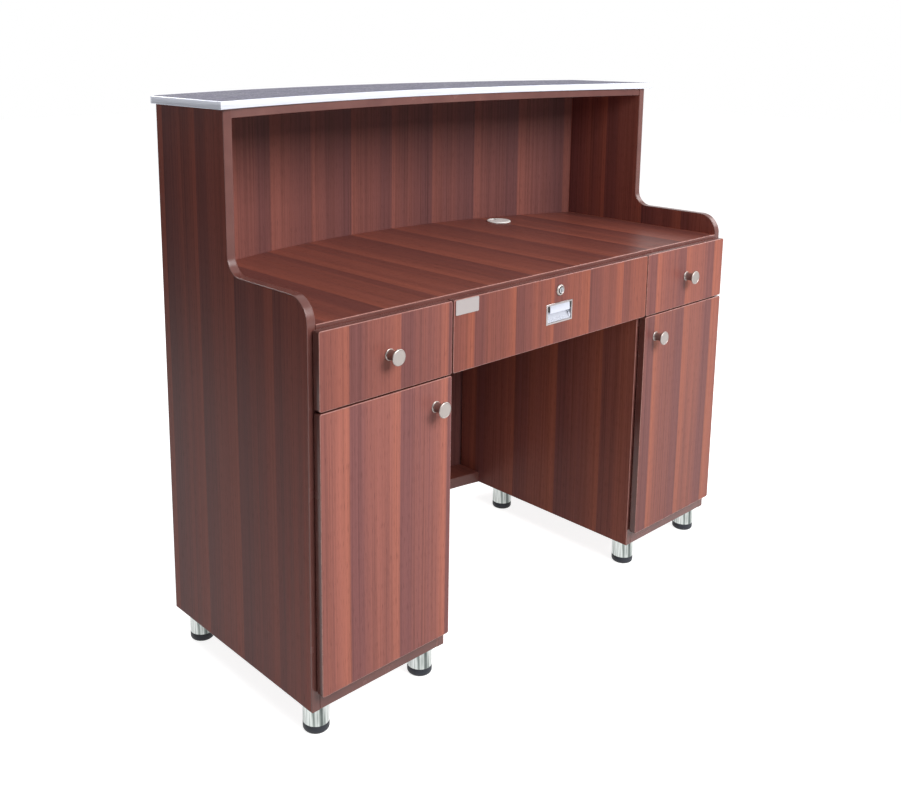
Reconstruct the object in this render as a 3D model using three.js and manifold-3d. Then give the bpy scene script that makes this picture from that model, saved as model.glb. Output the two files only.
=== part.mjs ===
// Bowed reception desk: two cupboard pedestals, three drawers, worktop, curved front and stone counter.
// Millimetres, +Z up, staff side towards -Y, customer side towards +Y, standing on z = 0.
// Heights named "...Height" or "...Level" of the carcass count from the underside of the side panels.
import * as THREE from 'three';
import { mergeVertices } from 'three/addons/utils/BufferGeometryUtils.js';
import Module from 'manifold-3d';

const wasm = await Module();
wasm.setup();

// Carcass
const carcassWidth = 1220;
const panelDepth = 456;
const panelHeight = 1021;
const tallDepth = 228; // side panel above the lip
const lipRise = 45; // lip of the side panel above the worktop
const noseRadius = 44; // convex corner at the front of the lip
const stepRadius = 35; // concave corner below the tall part
const board = 18;
const pedestalWidth = 317; // outer face of the side panel to the kneehole
const baseHeight = 36;
const jointGap = 0.2; // glue line between boards
const wallBow = 125; // how far the curved front bows out past the side panels
const worktopHeight = 689;
const kneeBoardHeight = 28;
const kneeBoardDepth = 68;

// Counter
const counterThickness = 14;
const trimThickness = 5;
const sideOverhang = 12;
const staffOverhang = 12;
const customerOverhang = 8;
const counterBow = 100; // bow of the counter's staff edge
const counterCornerRadius = 18; // customer corners
const trimShoulder = 2.75; // flat of the trim's upper and lower edges
const trimRound = 3.5; // rise from those edges to the trim's outer face
const supportThickness = 16;
const supportSetback = 2; // behind the front edge of the tall side panels
const supportBow = 88;

// Legs
const legHeight = 58;
const legDiameter = 48;
const legWall = 1.5;
const legPlate = 3;
const footHeight = 13;
const footEdgeRadius = 5;
const footStemHeight = 12;
const legInset = 33; // leg axis in from the pedestal's faces
const legFrontInset = 32;
const legRearInset = 45;

// Drawer fronts and doors
const frontBoard = 16;
const frontSetback = 2.5; // space between the fronts and the carcass
const worktopReveal = 7; // edge of the worktop left showing above the fronts
const drawerFrontHeight = 136;
const frontReveal = 3; // joint between neighbouring fronts
const sideReveal = 10; // edge of the side panel left showing
const dividerReveal = 6; // edge of the divider left showing beside the door
const doorBottom = 34;

// Drawer boxes and runner rails
const boxSide = 12;
const boxBottom = 6;
const boxTopGap = 15; // box to worktop
const boxLift = 12; // above the lower edge of the drawer front
const boxSideGap = 4; // box to carcass on each side
const boxRearGap = 54; // box to curved front
const grooveClearance = 0.5; // between the rail and the floor of its groove
const railHeight = 18;
const railBite = 4.5; // rail's reach into the groove of the box
const railClearance = 0.5; // above and below the rail
const railFrontInset = 20;
const railTail = 20; // rail behind the closed box

// Knobs
const knobDiameter = 30;
const knobLength = 27;
const knobNeckDiameter = 13;
const knobSkirtDiameter = 16;
const knobCrown = 6; // domed face of the head
const knobUnderside = 8; // hollow curve from the head to the neck
const knobSkirtHeight = 2;
const knobSkirtFlare = 2; // cone between the neck and the skirt
const knobDoorInset = 40; // from the free edge of the door
const knobDoorDrop = 49; // from the upper edge of the door

// Flush pull
const pullWidth = 80;
const pullHeight = 42;
const pullFlange = 1.5;
const pullRim = 4;
const pullWall = 1.2;
const pullFloor = 3.8; // wood left behind the pocket
const pullDrop = 73.5; // centre of the pull below the top of the drawer front
const hoodReach = 8;
const hoodDrop = 19;
const hoodSheet = 1.5;

// Lock
const lockDrop = 28; // lock axis below the top of the drawer front
const rosetteDiameter = 25;
const rosetteThickness = 2.5;
const barrelDiameter = 19;
const barrelTail = 3; // barrel behind the front wall of the drawer box
const plugDiameter = 13;
const plugProud = 0.6;
const turnClearance = 0.2;
const keywayWidth = 1.8;
const keywayHeight = 8;
const keywayDepth = 6;
const camThickness = 3;
const camLength = 24;
const camWidth = 10;
const tailWidth = 6;
const tailProud = 1; // tail behind the cam
const camSlotClearance = 2.5;

// Concealed door hinges
const cupDiameter = 40;
const cupFloor = 3.5; // wood left in front of the cup
const cupWall = 1.2;
const cupEdge = 2; // cup rim to the hinge edge of the door
const pivotInset = 6; // pivot axis from the hinge edge of the door
const pivotRise = 4.5; // pivot axis above the bottom of the cup
const pinDiameter = 2.5;
const pinClearance = 0.15;
const eyeDiameter = 5;
const armThickness = 3;
const armHeight = 6;
const armReach = 13;
const hingePlateHeight = 16;
const hingePlateStart = 15;
const hingePlateLength = 45;
const hingeInset = 80; // hinge from the upper and lower edges of the door

// Cable grommet
const grommetFromDivider = 29; // grommet axis to the right divider
const grommetFromWall = 66; // grommet axis to the curved front
const grommetDiameter = 60;
const grommetProud = 3;
const grommetChamfer = 1.2;
const grommetBore = 45;
const grommetSeatDiameter = 53;
const grommetCapThickness = 1.8;
const sleeveWall = 2.5;
const notchWidth = 16;
const notchReach = 12; // notch floor from the grommet axis

// Facets of the curves, and how far a cutting solid runs past the face it cuts
const bowSteps = 28;
const kneeBowSteps = 14;
const baseBowSteps = 8;
const cornerSteps = 5;
const edgeSteps = 3;
const hoodSteps = 5;
const crownSteps = 4;
const panelCurveSteps = 10;
const turnedSides = 20;
const barSides = 24;
const pinSides = 16;
const wideSides = 28;
const overcut = 1;

// Levels, faces and edges that follow from the sizes
const outerHalf = carcassWidth / 2;
const innerHalf = outerHalf - board;
const kneeHalf = outerHalf - pedestalWidth;
const dividerHalf = kneeHalf + board;
const tallFront = panelDepth - tallDepth;
const baseLevel = legHeight;
const worktopUnder = worktopHeight - board;
const lipHeight = worktopHeight + lipRise;
const frontTop = worktopHeight - worktopReveal;
const frontBack = -frontSetback;
const frontFace = -frontSetback - frontBoard;
const drawerFrontBottom = frontTop - drawerFrontHeight;
const doorTop = drawerFrontBottom - frontReveal;
const pedestalFrontOuter = outerHalf - sideReveal;
const pedestalFrontInner = kneeHalf + dividerReveal;
const centreFrontHalf = pedestalFrontInner - frontReveal;
const boxFront = frontBack + jointGap;
const boxLevel = drawerFrontBottom + boxLift;
const boxTop = worktopUnder - boxTopGap;
const railLevel = (boxLevel + boxTop - railHeight) / 2;
const grooveDepth = railBite + grooveClearance;
const lockLevel = frontTop - lockDrop;
const pullCentreLevel = frontTop - pullDrop;
const pullDepth = frontBoard - pullFloor - pullWall;
const pullMouthHalf = pullWidth / 2 - pullRim;
const pullMouthHeight = pullHeight - 2 * pullRim;
const cupDepth = frontBoard - cupFloor;
const pivotDepth = cupDepth - pivotRise; // in front of the back face of the door
const plugBack = boxFront + boxSide + barrelTail;
const camFront = plugBack + turnClearance;
const camBack = camFront + camThickness;
const sides = [{ name: 'left', sign: -1 }, { name: 'right', sign: 1 }];

// An arc that bows towards +Y: its centre line is x = 0 and it meets y = endY at x = +-half.
function bowArc(half, endY, bow) {
  const radius = (half * half + bow * bow) / (2 * bow);
  return { radius, centreY: endY + bow - radius };
}

function arcY(arc, x) {
  return arc.centreY + Math.sqrt(arc.radius * arc.radius - x * x);
}

function arcPoints(arc, fromX, toX, steps) {
  const points = [];
  for (let i = 0; i <= steps; i += 1) {
    const x = fromX + ((toX - fromX) * i) / steps;
    points.push([x, arcY(arc, x)]);
  }
  return points;
}

const wallOuter = bowArc(innerHalf, panelDepth, wallBow);
const wallInner = { radius: wallOuter.radius - board, centreY: wallOuter.centreY };
const wallFace = { radius: wallInner.radius - jointGap, centreY: wallInner.centreY };
const kneeBoardEdge = { radius: wallInner.radius - kneeBoardDepth, centreY: wallInner.centreY };
const supportEdge = bowArc(innerHalf, tallFront + supportSetback, supportBow);
const counterHalf = outerHalf + sideOverhang - trimThickness;
const counterStaff = bowArc(counterHalf, tallFront - staffOverhang + trimThickness, counterBow);
const counterCustomer = bowArc(counterHalf, panelDepth + customerOverhang - trimThickness, wallBow);
const grommetX = dividerHalf + grommetFromDivider;
const grommetY = arcY(wallInner, grommetX) - grommetFromWall;
const boxRear = arcY(wallInner, innerHalf) - boxRearGap;
const frontMost = frontFace - knobLength;
const rearMost = arcY(counterCustomer, 0) + trimThickness;

// Finishes
function finish(colour, roughness, metalness) {
  return new THREE.MeshStandardMaterial({ color: colour, roughness, metalness });
}

const wood = finish(0x8a4a3c, 0.4, 0);
const darkWood = finish(0x5a3029, 0.45, 0);
const boxWood = finish(0xc9b49a, 0.6, 0);
const stone = finish(0x6b6a7a, 0.3, 0);
const aluminium = finish(0xe4e6ea, 0.25, 1);
const chrome = finish(0xd8dade, 0.12, 1);
const nickel = finish(0xb9b2ab, 0.35, 1);
const steel = finish(0xa9abae, 0.35, 1);
const rubber = finish(0x1b1b1d, 0.8, 0);
const whitePlastic = finish(0xf1f1ee, 0.4, 0);

// Solids
function toSolid(geometry) {
  const bare = geometry.clone();
  bare.deleteAttribute('normal');
  bare.deleteAttribute('uv');
  const merged = mergeVertices(bare, 1e-4);
  const index = merged.index.array;
  const triangles = [];
  for (let i = 0; i < index.length; i += 3) {
    const [a, b, c] = index.slice(i, i + 3);
    if (a !== b && b !== c && c !== a) triangles.push(a, b, c);
  }
  return new wasm.Manifold(new wasm.Mesh({
    numProp: 3,
    vertProperties: merged.attributes.position.array,
    triVerts: Uint32Array.from(triangles),
  }));
}

function toGeometry(solid) {
  const mesh = solid.getMesh();
  const geometry = new THREE.BufferGeometry();
  geometry.setAttribute('position', new THREE.BufferAttribute(mesh.vertProperties, 3));
  geometry.setIndex(new THREE.BufferAttribute(mesh.triVerts, 1));
  return geometry;
}

function cut(geometry, ...tools) {
  return toGeometry(tools.reduce((solid, tool) => solid.subtract(toSolid(tool)), toSolid(geometry)));
}

function join(geometry, ...others) {
  return toGeometry(others.reduce((solid, other) => solid.add(toSolid(other)), toSolid(geometry)));
}

// A box between two faces on each axis, given in either order.
function block(xs, ys, zs) {
  const spans = [xs, ys, zs];
  const geometry = new THREE.BoxGeometry(...spans.map(([a, b]) => Math.abs(b - a)));
  return geometry.translate(...spans.map(([a, b]) => (a + b) / 2));
}

function cuboid(halfWidth, ys, halfHeight, level = 0) {
  return block([-halfWidth, halfWidth], ys, [level - halfHeight, level + halfHeight]);
}

function mirrorX(points, sign) {
  return points.map(([x, y]) => [sign * x, y]);
}

// A plan outline raised by a height.
function planPrism(outline, height, holes = []) {
  const shape = new THREE.Shape(outline.map(([x, y]) => new THREE.Vector2(x, y)));
  shape.holes.push(...holes);
  return new THREE.ExtrudeGeometry(shape, { depth: height, bevelEnabled: false, curveSegments: barSides });
}

// A shape drawn in y and z, carried along +X.
function sidePrism(shape, width, curveSegments) {
  const geometry = new THREE.ExtrudeGeometry(shape, { depth: width, bevelEnabled: false, curveSegments });
  const axes = new THREE.Matrix4().makeBasis(
    new THREE.Vector3(0, 1, 0), new THREE.Vector3(0, 0, 1), new THREE.Vector3(1, 0, 0));
  return geometry.applyMatrix4(axes);
}

// A round bar along Y between two faces.
function barY(diameter, y0, y1, sideCount = barSides) {
  const geometry = new THREE.CylinderGeometry(diameter / 2, diameter / 2, y1 - y0, sideCount);
  return geometry.translate(0, (y0 + y1) / 2, 0);
}

function barZ(diameter, height, sideCount = pinSides) {
  return new THREE.CylinderGeometry(diameter / 2, diameter / 2, height, sideCount).rotateX(Math.PI / 2);
}

// Points on a quarter of an ellipse, from its first axis to its second.
function quarterTurn(steps, place) {
  return Array.from({ length: steps + 1 }, (_, i) => {
    const angle = (i * Math.PI) / 2 / steps;
    return place(Math.cos(angle), Math.sin(angle));
  });
}

// A profile of radius and height turned about Z.
function turned(profile, sideCount = turnedSides) {
  const points = profile.map(([radius, height]) => new THREE.Vector2(radius, height));
  return new THREE.LatheGeometry(points, sideCount).rotateX(Math.PI / 2);
}

function addPiece(group, name, geometry, material, x = 0, y = 0, z = 0) {
  const mesh = new THREE.Mesh(geometry, material);
  mesh.name = name;
  mesh.position.set(x, y, z);
  group.add(mesh);
}

// Side panel: an S from the tall part down to the lip, then round the nose to the front edge.
function sidePanel() {
  const shape = new THREE.Shape();
  shape.moveTo(0, 0);
  shape.lineTo(panelDepth, 0);
  shape.lineTo(panelDepth, panelHeight);
  shape.lineTo(tallFront, panelHeight);
  shape.absarc(tallFront - stepRadius, lipHeight + stepRadius, stepRadius, 0, -Math.PI / 2, true);
  shape.absarc(noseRadius, lipHeight - noseRadius, noseRadius, Math.PI / 2, Math.PI, false);
  return sidePrism(shape, board, panelCurveSteps);
}

// A board whose rear edge follows the curved front.
function boardToWall(xA, xB, height, steps, holes = []) {
  const [x0, x1] = [Math.min(xA, xB), Math.max(xA, xB)];
  const rear = arcPoints(wallFace, x1, x0, steps);
  return planPrism([[x0, 0], [x1, 0], ...rear], height, holes);
}

// A board between two arcs, as wide as given by half.
function bowedBoard(frontArc, rearArc, half, height, steps) {
  const outline = [...arcPoints(frontArc, -half, half, steps), ...arcPoints(rearArc, half, -half, steps)];
  return planPrism(outline, height);
}

function makeCarcass() {
  const carcass = new THREE.Group();
  for (const { name, sign } of sides) {
    const panelX = sign < 0 ? -outerHalf : innerHalf;
    addPiece(carcass, `${name}_side_panel`, sidePanel(), wood, panelX, 0, baseLevel);
    const divider = boardToWall(sign * kneeHalf, sign * dividerHalf, worktopUnder - jointGap, 1);
    addPiece(carcass, `${name}_divider`, divider, darkWood, 0, 0, baseLevel);
    const [baseInner, baseOuter] = [dividerHalf + jointGap, innerHalf - jointGap];
    const base = boardToWall(sign * baseInner, sign * baseOuter, baseHeight, baseBowSteps);
    addPiece(carcass, `${name}_base_panel`, base, darkWood, 0, 0, baseLevel);
  }
  const wall = bowedBoard(wallInner, wallOuter, innerHalf - jointGap, panelHeight, bowSteps);
  addPiece(carcass, 'curved_front_panel', wall, wood, 0, 0, baseLevel);
  const kneeBoard = bowedBoard(kneeBoardEdge, wallFace, kneeHalf - jointGap, kneeBoardHeight, kneeBowSteps);
  addPiece(carcass, 'kneehole_base_board', kneeBoard, darkWood, 0, 0, baseLevel);
  addPiece(carcass, 'worktop', makeWorktop(), wood, 0, 0, baseLevel + worktopUnder);
  return carcass;
}

// Worktop with the grommet hole and the slot that takes the lock cam from below.
function makeWorktop() {
  const half = innerHalf - jointGap;
  const hole = new THREE.Path();
  hole.absarc(grommetX, grommetY, grommetBore / 2 + sleeveWall + jointGap, 0, 2 * Math.PI, false);
  const camTip = Math.hypot(camLength, camWidth / 2) + camSlotClearance;
  const slot = block(
    [-camWidth / 2 - camSlotClearance, camTip],
    [camFront - camSlotClearance, camBack + camSlotClearance],
    [-overcut, lockLevel + camTip - worktopUnder]);
  return cut(boardToWall(-half, half, board, bowSteps, [hole]), slot);
}

// Rounds the corner between two straight edges with an arc.
function roundCorner(before, corner, after, radius, steps) {
  const toward = (p) => {
    const length = Math.hypot(p[0] - corner[0], p[1] - corner[1]);
    return [(p[0] - corner[0]) / length, (p[1] - corner[1]) / length];
  };
  const [a, b] = [toward(before), toward(after)];
  const halfAngle = Math.acos(a[0] * b[0] + a[1] * b[1]) / 2;
  const middle = [a[0] + b[0], a[1] + b[1]];
  const reach = radius / Math.sin(halfAngle) / Math.hypot(...middle);
  const centre = [corner[0] + middle[0] * reach, corner[1] + middle[1] * reach];
  const along = radius / Math.tan(halfAngle);
  const first = Math.atan2(corner[1] + a[1] * along - centre[1], corner[0] + a[0] * along - centre[0]);
  const sweep = Math.PI - 2 * halfAngle;
  return Array.from({ length: steps + 1 }, (_, i) => {
    const angle = first + (sweep * i) / steps;
    return [centre[0] + radius * Math.cos(angle), centre[1] + radius * Math.sin(angle)];
  });
}

// Slab outline, counter-clockwise: staff edge, right end, customer edge, left end.
function slabOutline() {
  const bowEnd = counterHalf - 2 * counterCornerRadius;
  const staff = arcPoints(counterStaff, -counterHalf, counterHalf, bowSteps);
  const customer = arcPoints(counterCustomer, bowEnd, -bowEnd, bowSteps);
  const corner = [counterHalf, arcY(counterCustomer, counterHalf)];
  const right = roundCorner(staff.at(-1), corner, customer[0], counterCornerRadius, cornerSteps);
  const left = right.map(([x, y]) => [-x, y]).reverse();
  return [...staff, ...right, ...customer, ...left];
}

// Outward directions at the points of a closed outline, long enough to move both neighbouring edges alike.
function outwardMitres(outline) {
  const count = outline.length;
  return outline.map((point, i) => {
    const before = outline[(i + count - 1) % count];
    const after = outline[(i + 1) % count];
    const normal = (p, q) => {
      const length = Math.hypot(q[0] - p[0], q[1] - p[1]);
      return [(q[1] - p[1]) / length, (p[0] - q[0]) / length];
    };
    const [a, b] = [normal(before, point), normal(point, after)];
    const scale = 1 / (1 + a[0] * b[0] + a[1] * b[1]);
    return [(a[0] + b[0]) * scale, (a[1] + b[1]) * scale];
  });
}

// A closed section of (outward, up) points carried round a closed outline.
function bandAround(outline, section) {
  const mitres = outwardMitres(outline);
  const positions = [];
  outline.forEach(([x, y], i) => section.forEach(([out, up]) => {
    positions.push(x + mitres[i][0] * out, y + mitres[i][1] * out, up);
  }));
  const [rings, ring] = [outline.length, section.length];
  const index = [];
  for (let i = 0; i < rings; i += 1) {
    for (let j = 0; j < ring; j += 1) {
      const [a, b] = [i * ring + j, i * ring + ((j + 1) % ring)];
      const next = ((i + 1) % rings) * ring;
      const [c, d] = [next + j, next + ((j + 1) % ring)];
      index.push(a, c, b, b, c, d);
    }
  }
  const geometry = new THREE.BufferGeometry();
  geometry.setAttribute('position', new THREE.Float32BufferAttribute(positions, 3));
  geometry.setIndex(index);
  return geometry;
}

function makeCounter() {
  const counter = new THREE.Group();
  const counterLevel = baseLevel + panelHeight;
  const support = bowedBoard(supportEdge, wallFace, innerHalf - jointGap, supportThickness, bowSteps);
  addPiece(counter, 'counter_support_board', support, wood, 0, 0, counterLevel - supportThickness);
  const outline = slabOutline();
  const slabLevel = counterLevel + jointGap;
  addPiece(counter, 'counter_slab', planPrism(outline, counterThickness), stone, 0, 0, slabLevel);
  const section = [
    [jointGap, 0], [trimShoulder, 0],
    [trimThickness, trimRound], [trimThickness, counterThickness - trimRound],
    [trimShoulder, counterThickness], [jointGap, counterThickness],
  ];
  addPiece(counter, 'counter_edge_trim', bandAround(outline, section), aluminium, 0, 0, slabLevel);
  return counter;
}

// Chrome tube closed by a plate at the top, and the rubber foot that plugs it from below.
function legTube() {
  const [outer, inner] = [legDiameter / 2, legDiameter / 2 - legWall];
  const [low, high] = [footHeight + jointGap, legHeight - jointGap];
  const plateUnder = high - legPlate;
  return turned([[0, plateUnder], [inner, plateUnder], [inner, low], [outer, low], [outer, high], [0, high]]);
}

function rubberFoot() {
  const outer = legDiameter / 2;
  const stem = outer - legWall - jointGap;
  const stemTop = footHeight + footStemHeight;
  const edge = quarterTurn(edgeSteps, (c, s) => [
    outer - footEdgeRadius * (1 - s), footEdgeRadius * (1 - c)]);
  return turned([[0, 0], ...edge, [outer, footHeight], [stem, footHeight], [stem, stemTop], [0, stemTop]]);
}

function makeLegs() {
  const legs = new THREE.Group();
  for (const { name, sign } of sides) {
    const places = [
      ['front_outer', outerHalf - legInset, legFrontInset],
      ['front_inner', kneeHalf + legInset, legFrontInset],
      ['rear_outer', outerHalf - legInset, panelDepth - legRearInset],
      ['rear_inner', kneeHalf + legInset, panelDepth - legRearInset],
    ];
    for (const [place, x, y] of places) {
      addPiece(legs, `${name}_${place}_leg`, legTube(), chrome, sign * x, y);
      addPiece(legs, `${name}_${place}_foot`, rubberFoot(), rubber, sign * x, y);
    }
  }
  return legs;
}

// Knob turned about Y, its base at y = 0 and its face towards -Y.
function knob() {
  const [head, neck, skirt] = [knobDiameter / 2, knobNeckDiameter / 2, knobSkirtDiameter / 2];
  const rim = knobCrown - knobLength;
  const crown = quarterTurn(crownSteps, (c, s) => [head * s, rim - knobCrown * c]);
  const underside = quarterTurn(crownSteps, (c, s) => [neck + (head - neck) * c, rim + knobUnderside * s]);
  const flareTop = -knobSkirtHeight - knobSkirtFlare;
  const profile = [
    ...crown, ...underside.slice(1), [neck, flareTop], [skirt, -knobSkirtHeight], [skirt, 0], [0, 0]];
  return new THREE.LatheGeometry(profile.map(([radius, y]) => new THREE.Vector2(radius, y)), turnedSides);
}

// Rail fixed to a carcass face, reaching into the drawer box on the side given by sign.
function addRail(group, name, face, sign) {
  const rail = block(
    [face + sign * jointGap, face + sign * (boxSideGap + railBite)],
    [railFrontInset, boxRear + railTail],
    [railLevel, railLevel + railHeight]);
  addPiece(group, name, rail, steel, 0, 0, baseLevel);
}

// Open drawer box with a groove along each side for the rails. The centre one stays below the lock.
function drawerBox(xA, xB, top) {
  const [x0, x1] = [Math.min(xA, xB), Math.max(xA, xB)];
  const shell = block([x0, x1], [boxFront, boxRear], [boxLevel, top]);
  const inside = block(
    [x0 + boxSide, x1 - boxSide], [boxFront + boxSide, boxRear - boxSide],
    [boxLevel + boxBottom, top + overcut]);
  const grooveY = [railFrontInset - railClearance, boxRear + overcut];
  const grooveZ = [railLevel - railClearance, railLevel + railHeight + railClearance];
  const leftGroove = block([x0 - overcut, x0 + grooveDepth], grooveY, grooveZ);
  const rightGroove = block([x1 - grooveDepth, x1 + overcut], grooveY, grooveZ);
  return cut(shell, inside, leftGroove, rightGroove);
}

function makePedestalDrawer({ name, sign }, drawer, rails) {
  const [inner, outer] = [sign * pedestalFrontInner, sign * pedestalFrontOuter];
  const front = block([inner, outer], [frontFace, frontBack], [drawerFrontBottom, frontTop]);
  addPiece(drawer, `${name}_drawer_front`, front, wood, 0, 0, baseLevel);
  const box = drawerBox(sign * (dividerHalf + boxSideGap), sign * (innerHalf - boxSideGap), boxTop);
  addPiece(drawer, `${name}_drawer_box`, box, boxWood, 0, 0, baseLevel);
  const knobLevel = baseLevel + (drawerFrontBottom + frontTop) / 2;
  addPiece(drawer, `${name}_drawer_knob`, knob(), nickel, (inner + outer) / 2, frontFace, knobLevel);
  addRail(rails, `${name}_drawer_outer_rail`, sign * innerHalf, -sign);
  addRail(rails, `${name}_drawer_inner_rail`, sign * dividerHalf, sign);
}

function makeCentreDrawer(drawer, rails) {
  const holeRadius = barrelDiameter / 2 + jointGap;
  const hole = barY(2 * holeRadius, frontFace - overcut, plugBack).translate(0, 0, lockLevel);
  const pocket = cuboid(
    pullMouthHalf + pullWall + jointGap,
    [frontFace - overcut, frontFace + pullDepth + pullWall + jointGap],
    pullMouthHeight / 2 + pullWall + jointGap, pullCentreLevel);
  const blank = block(
    [-centreFrontHalf, centreFrontHalf], [frontFace, frontBack], [drawerFrontBottom, frontTop]);
  const front = cut(blank, hole, pocket);
  addPiece(drawer, 'centre_drawer_front', front, wood, 0, 0, baseLevel);
  const boxHalf = kneeHalf - boxSideGap;
  const box = drawerBox(-boxHalf, boxHalf, lockLevel - holeRadius);
  addPiece(drawer, 'centre_drawer_box', box, boxWood, 0, 0, baseLevel);
  const pullLevel = baseLevel + pullCentreLevel;
  addPiece(drawer, 'centre_drawer_flush_pull', flushPull(), chrome, 0, frontFace, pullLevel);
  for (const { name, sign } of sides) {
    addRail(rails, `centre_drawer_${name}_rail`, sign * kneeHalf, -sign);
  }
}

// Flush pull: a flange and tub, with a rolled hood over the upper half of the pocket.
function flushPull() {
  const mouthRise = pullMouthHeight / 2;
  const flange = cuboid(pullWidth / 2, [-pullFlange, -jointGap / 2], pullHeight / 2);
  const tub = cuboid(
    pullMouthHalf + pullWall, [-pullFlange / 2, pullDepth + pullWall], mouthRise + pullWall);
  const mouth = cuboid(pullMouthHalf, [-pullFlange - overcut, pullDepth], mouthRise);
  const hoodTop = mouthRise + pullRim / 2;
  const curve = (reach, drop) => quarterTurn(hoodSteps, (c, s) => new THREE.Vector2(
    -pullFlange / 2 - reach * s, hoodTop - drop * (1 - c)));
  const outside = curve(hoodReach, hoodDrop);
  const inside = curve(hoodReach - hoodSheet, hoodDrop);
  inside.forEach((point) => { point.y -= hoodSheet; });
  inside.at(-1).y = outside.at(-1).y;
  const sheet = sidePrism(new THREE.Shape([...outside, ...inside.reverse()]), 2 * pullMouthHalf, 1);
  const foot = new THREE.Vector2(-pullFlange / 2, hoodTop - hoodDrop);
  const cheek = sidePrism(new THREE.Shape([...outside, foot]), hoodSheet, 1);
  const cheekX = [-pullMouthHalf, pullMouthHalf].map((x) => x - hoodSheet / 2);
  const cheeks = cheekX.map((x) => cheek.clone().translate(x, 0, 0));
  const hood = join(sheet.translate(-pullMouthHalf, 0, 0), ...cheeks);
  return join(cut(join(flange, tub), mouth), hood);
}

// Lock: housing through the drawer front, turning plug with keyway, and the cam on its tail.
function makeLock(housingGroup, plugGroup) {
  const level = baseLevel + lockLevel;
  const rosetteFace = frontFace - rosetteThickness;
  const rosette = barY(rosetteDiameter, rosetteFace, frontFace);
  const barrel = barY(barrelDiameter, rosetteFace + rosetteThickness / 2, plugBack);
  const bore = barY(plugDiameter + 2 * turnClearance, rosetteFace - overcut, plugBack + overcut);
  addPiece(housingGroup, 'lock_housing', cut(join(rosette, barrel), bore), chrome, 0, 0, level);
  const plugFace = rosetteFace - plugProud;
  const core = barY(plugDiameter, plugFace, plugBack);
  const tail = cuboid(tailWidth / 2, [plugBack - overcut, camBack + tailProud], tailWidth / 2);
  const keyway = cuboid(keywayWidth / 2, [plugFace - overcut, plugFace + keywayDepth], keywayHeight / 2);
  addPiece(plugGroup, 'lock_plug', cut(join(core, tail), keyway), steel, 0, 0, level);
  const camHub = camWidth / 2;
  const arm = block([-camHub, camLength], [camFront, camBack], [-camHub, camHub]);
  const eye = tailWidth / 2 + jointGap;
  const hole = cuboid(eye, [camFront - overcut, camBack + overcut], eye);
  addPiece(plugGroup, 'lock_cam', cut(arm, hole), steel, 0, 0, level);
}

// Cup let into the back of the door, with the hinge pin across it; y = 0 is its rim.
function hingeCup(sign) {
  const cup = barY(cupDiameter, -cupDepth, 0, wideSides);
  const hollow = barY(cupDiameter - 2 * cupWall, cupWall - cupDepth, overcut, wideSides);
  const pinX = sign * (cupDiameter / 2 + cupEdge - pivotInset);
  const pin = barZ(pinDiameter, cupDiameter).translate(pinX, -pivotDepth, 0);
  const inCup = toGeometry(toSolid(pin).intersect(toSolid(cup)));
  return join(cut(cup, hollow), inCup);
}

// Gooseneck arm: an eye round the pin, a bar inwards, a bar back past the panel edge, a plate on the panel.
function hingeArm(sign) {
  const half = armThickness / 2;
  const panelFace = board - sideReveal - pivotInset;
  const plateFront = pivotDepth + frontSetback + hingePlateStart;
  const barEnd = plateFront + overcut;
  const [near, far] = [armReach - half, armReach + half];
  const bar = planPrism(mirrorX([
    [0, -half], [far, -half], [far, barEnd], [near, barEnd], [near, half], [0, half]], -sign), armHeight);
  const plate = block(
    [-sign * (panelFace + jointGap), -sign * far], [plateFront, plateFront + hingePlateLength],
    [-hingePlateHeight / 2, hingePlateHeight / 2]);
  const arm = join(bar.translate(0, 0, -armHeight / 2), barZ(eyeDiameter, armHeight), plate);
  return cut(arm, barZ(pinDiameter + 2 * pinClearance, armHeight + 2 * overcut));
}

function makeDoor({ name, sign }, door, carcass) {
  const cupX = sign * (pedestalFrontOuter - cupEdge - cupDiameter / 2);
  const pivotX = sign * (pedestalFrontOuter - pivotInset);
  const pivotY = frontBack - pivotDepth;
  const hinges = [['lower', doorBottom + hingeInset], ['upper', doorTop - hingeInset]];
  const pocket = barY(
    cupDiameter + 2 * jointGap, frontBack - cupDepth - jointGap, frontBack + overcut, wideSides);
  const pockets = hinges.map(([, level]) => pocket.clone().translate(cupX, 0, level));
  const leaf = block(
    [sign * pedestalFrontInner, sign * pedestalFrontOuter], [frontFace, frontBack], [doorBottom, doorTop]);
  addPiece(door, `${name}_door`, cut(leaf, ...pockets), wood, 0, 0, baseLevel);
  for (const [place, height] of hinges) {
    const [hinge, level] = [`${name}_door_${place}_hinge`, baseLevel + height];
    addPiece(door, `${hinge}_cup`, hingeCup(sign), steel, cupX, frontBack, level);
    addPiece(carcass, `${hinge}_arm`, hingeArm(sign), steel, pivotX, pivotY, level);
  }
  const knobX = sign * (pedestalFrontInner + knobDoorInset);
  addPiece(door, `${name}_door_knob`, knob(), nickel, knobX, frontFace, baseLevel + doorTop - knobDoorDrop);
}

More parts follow.
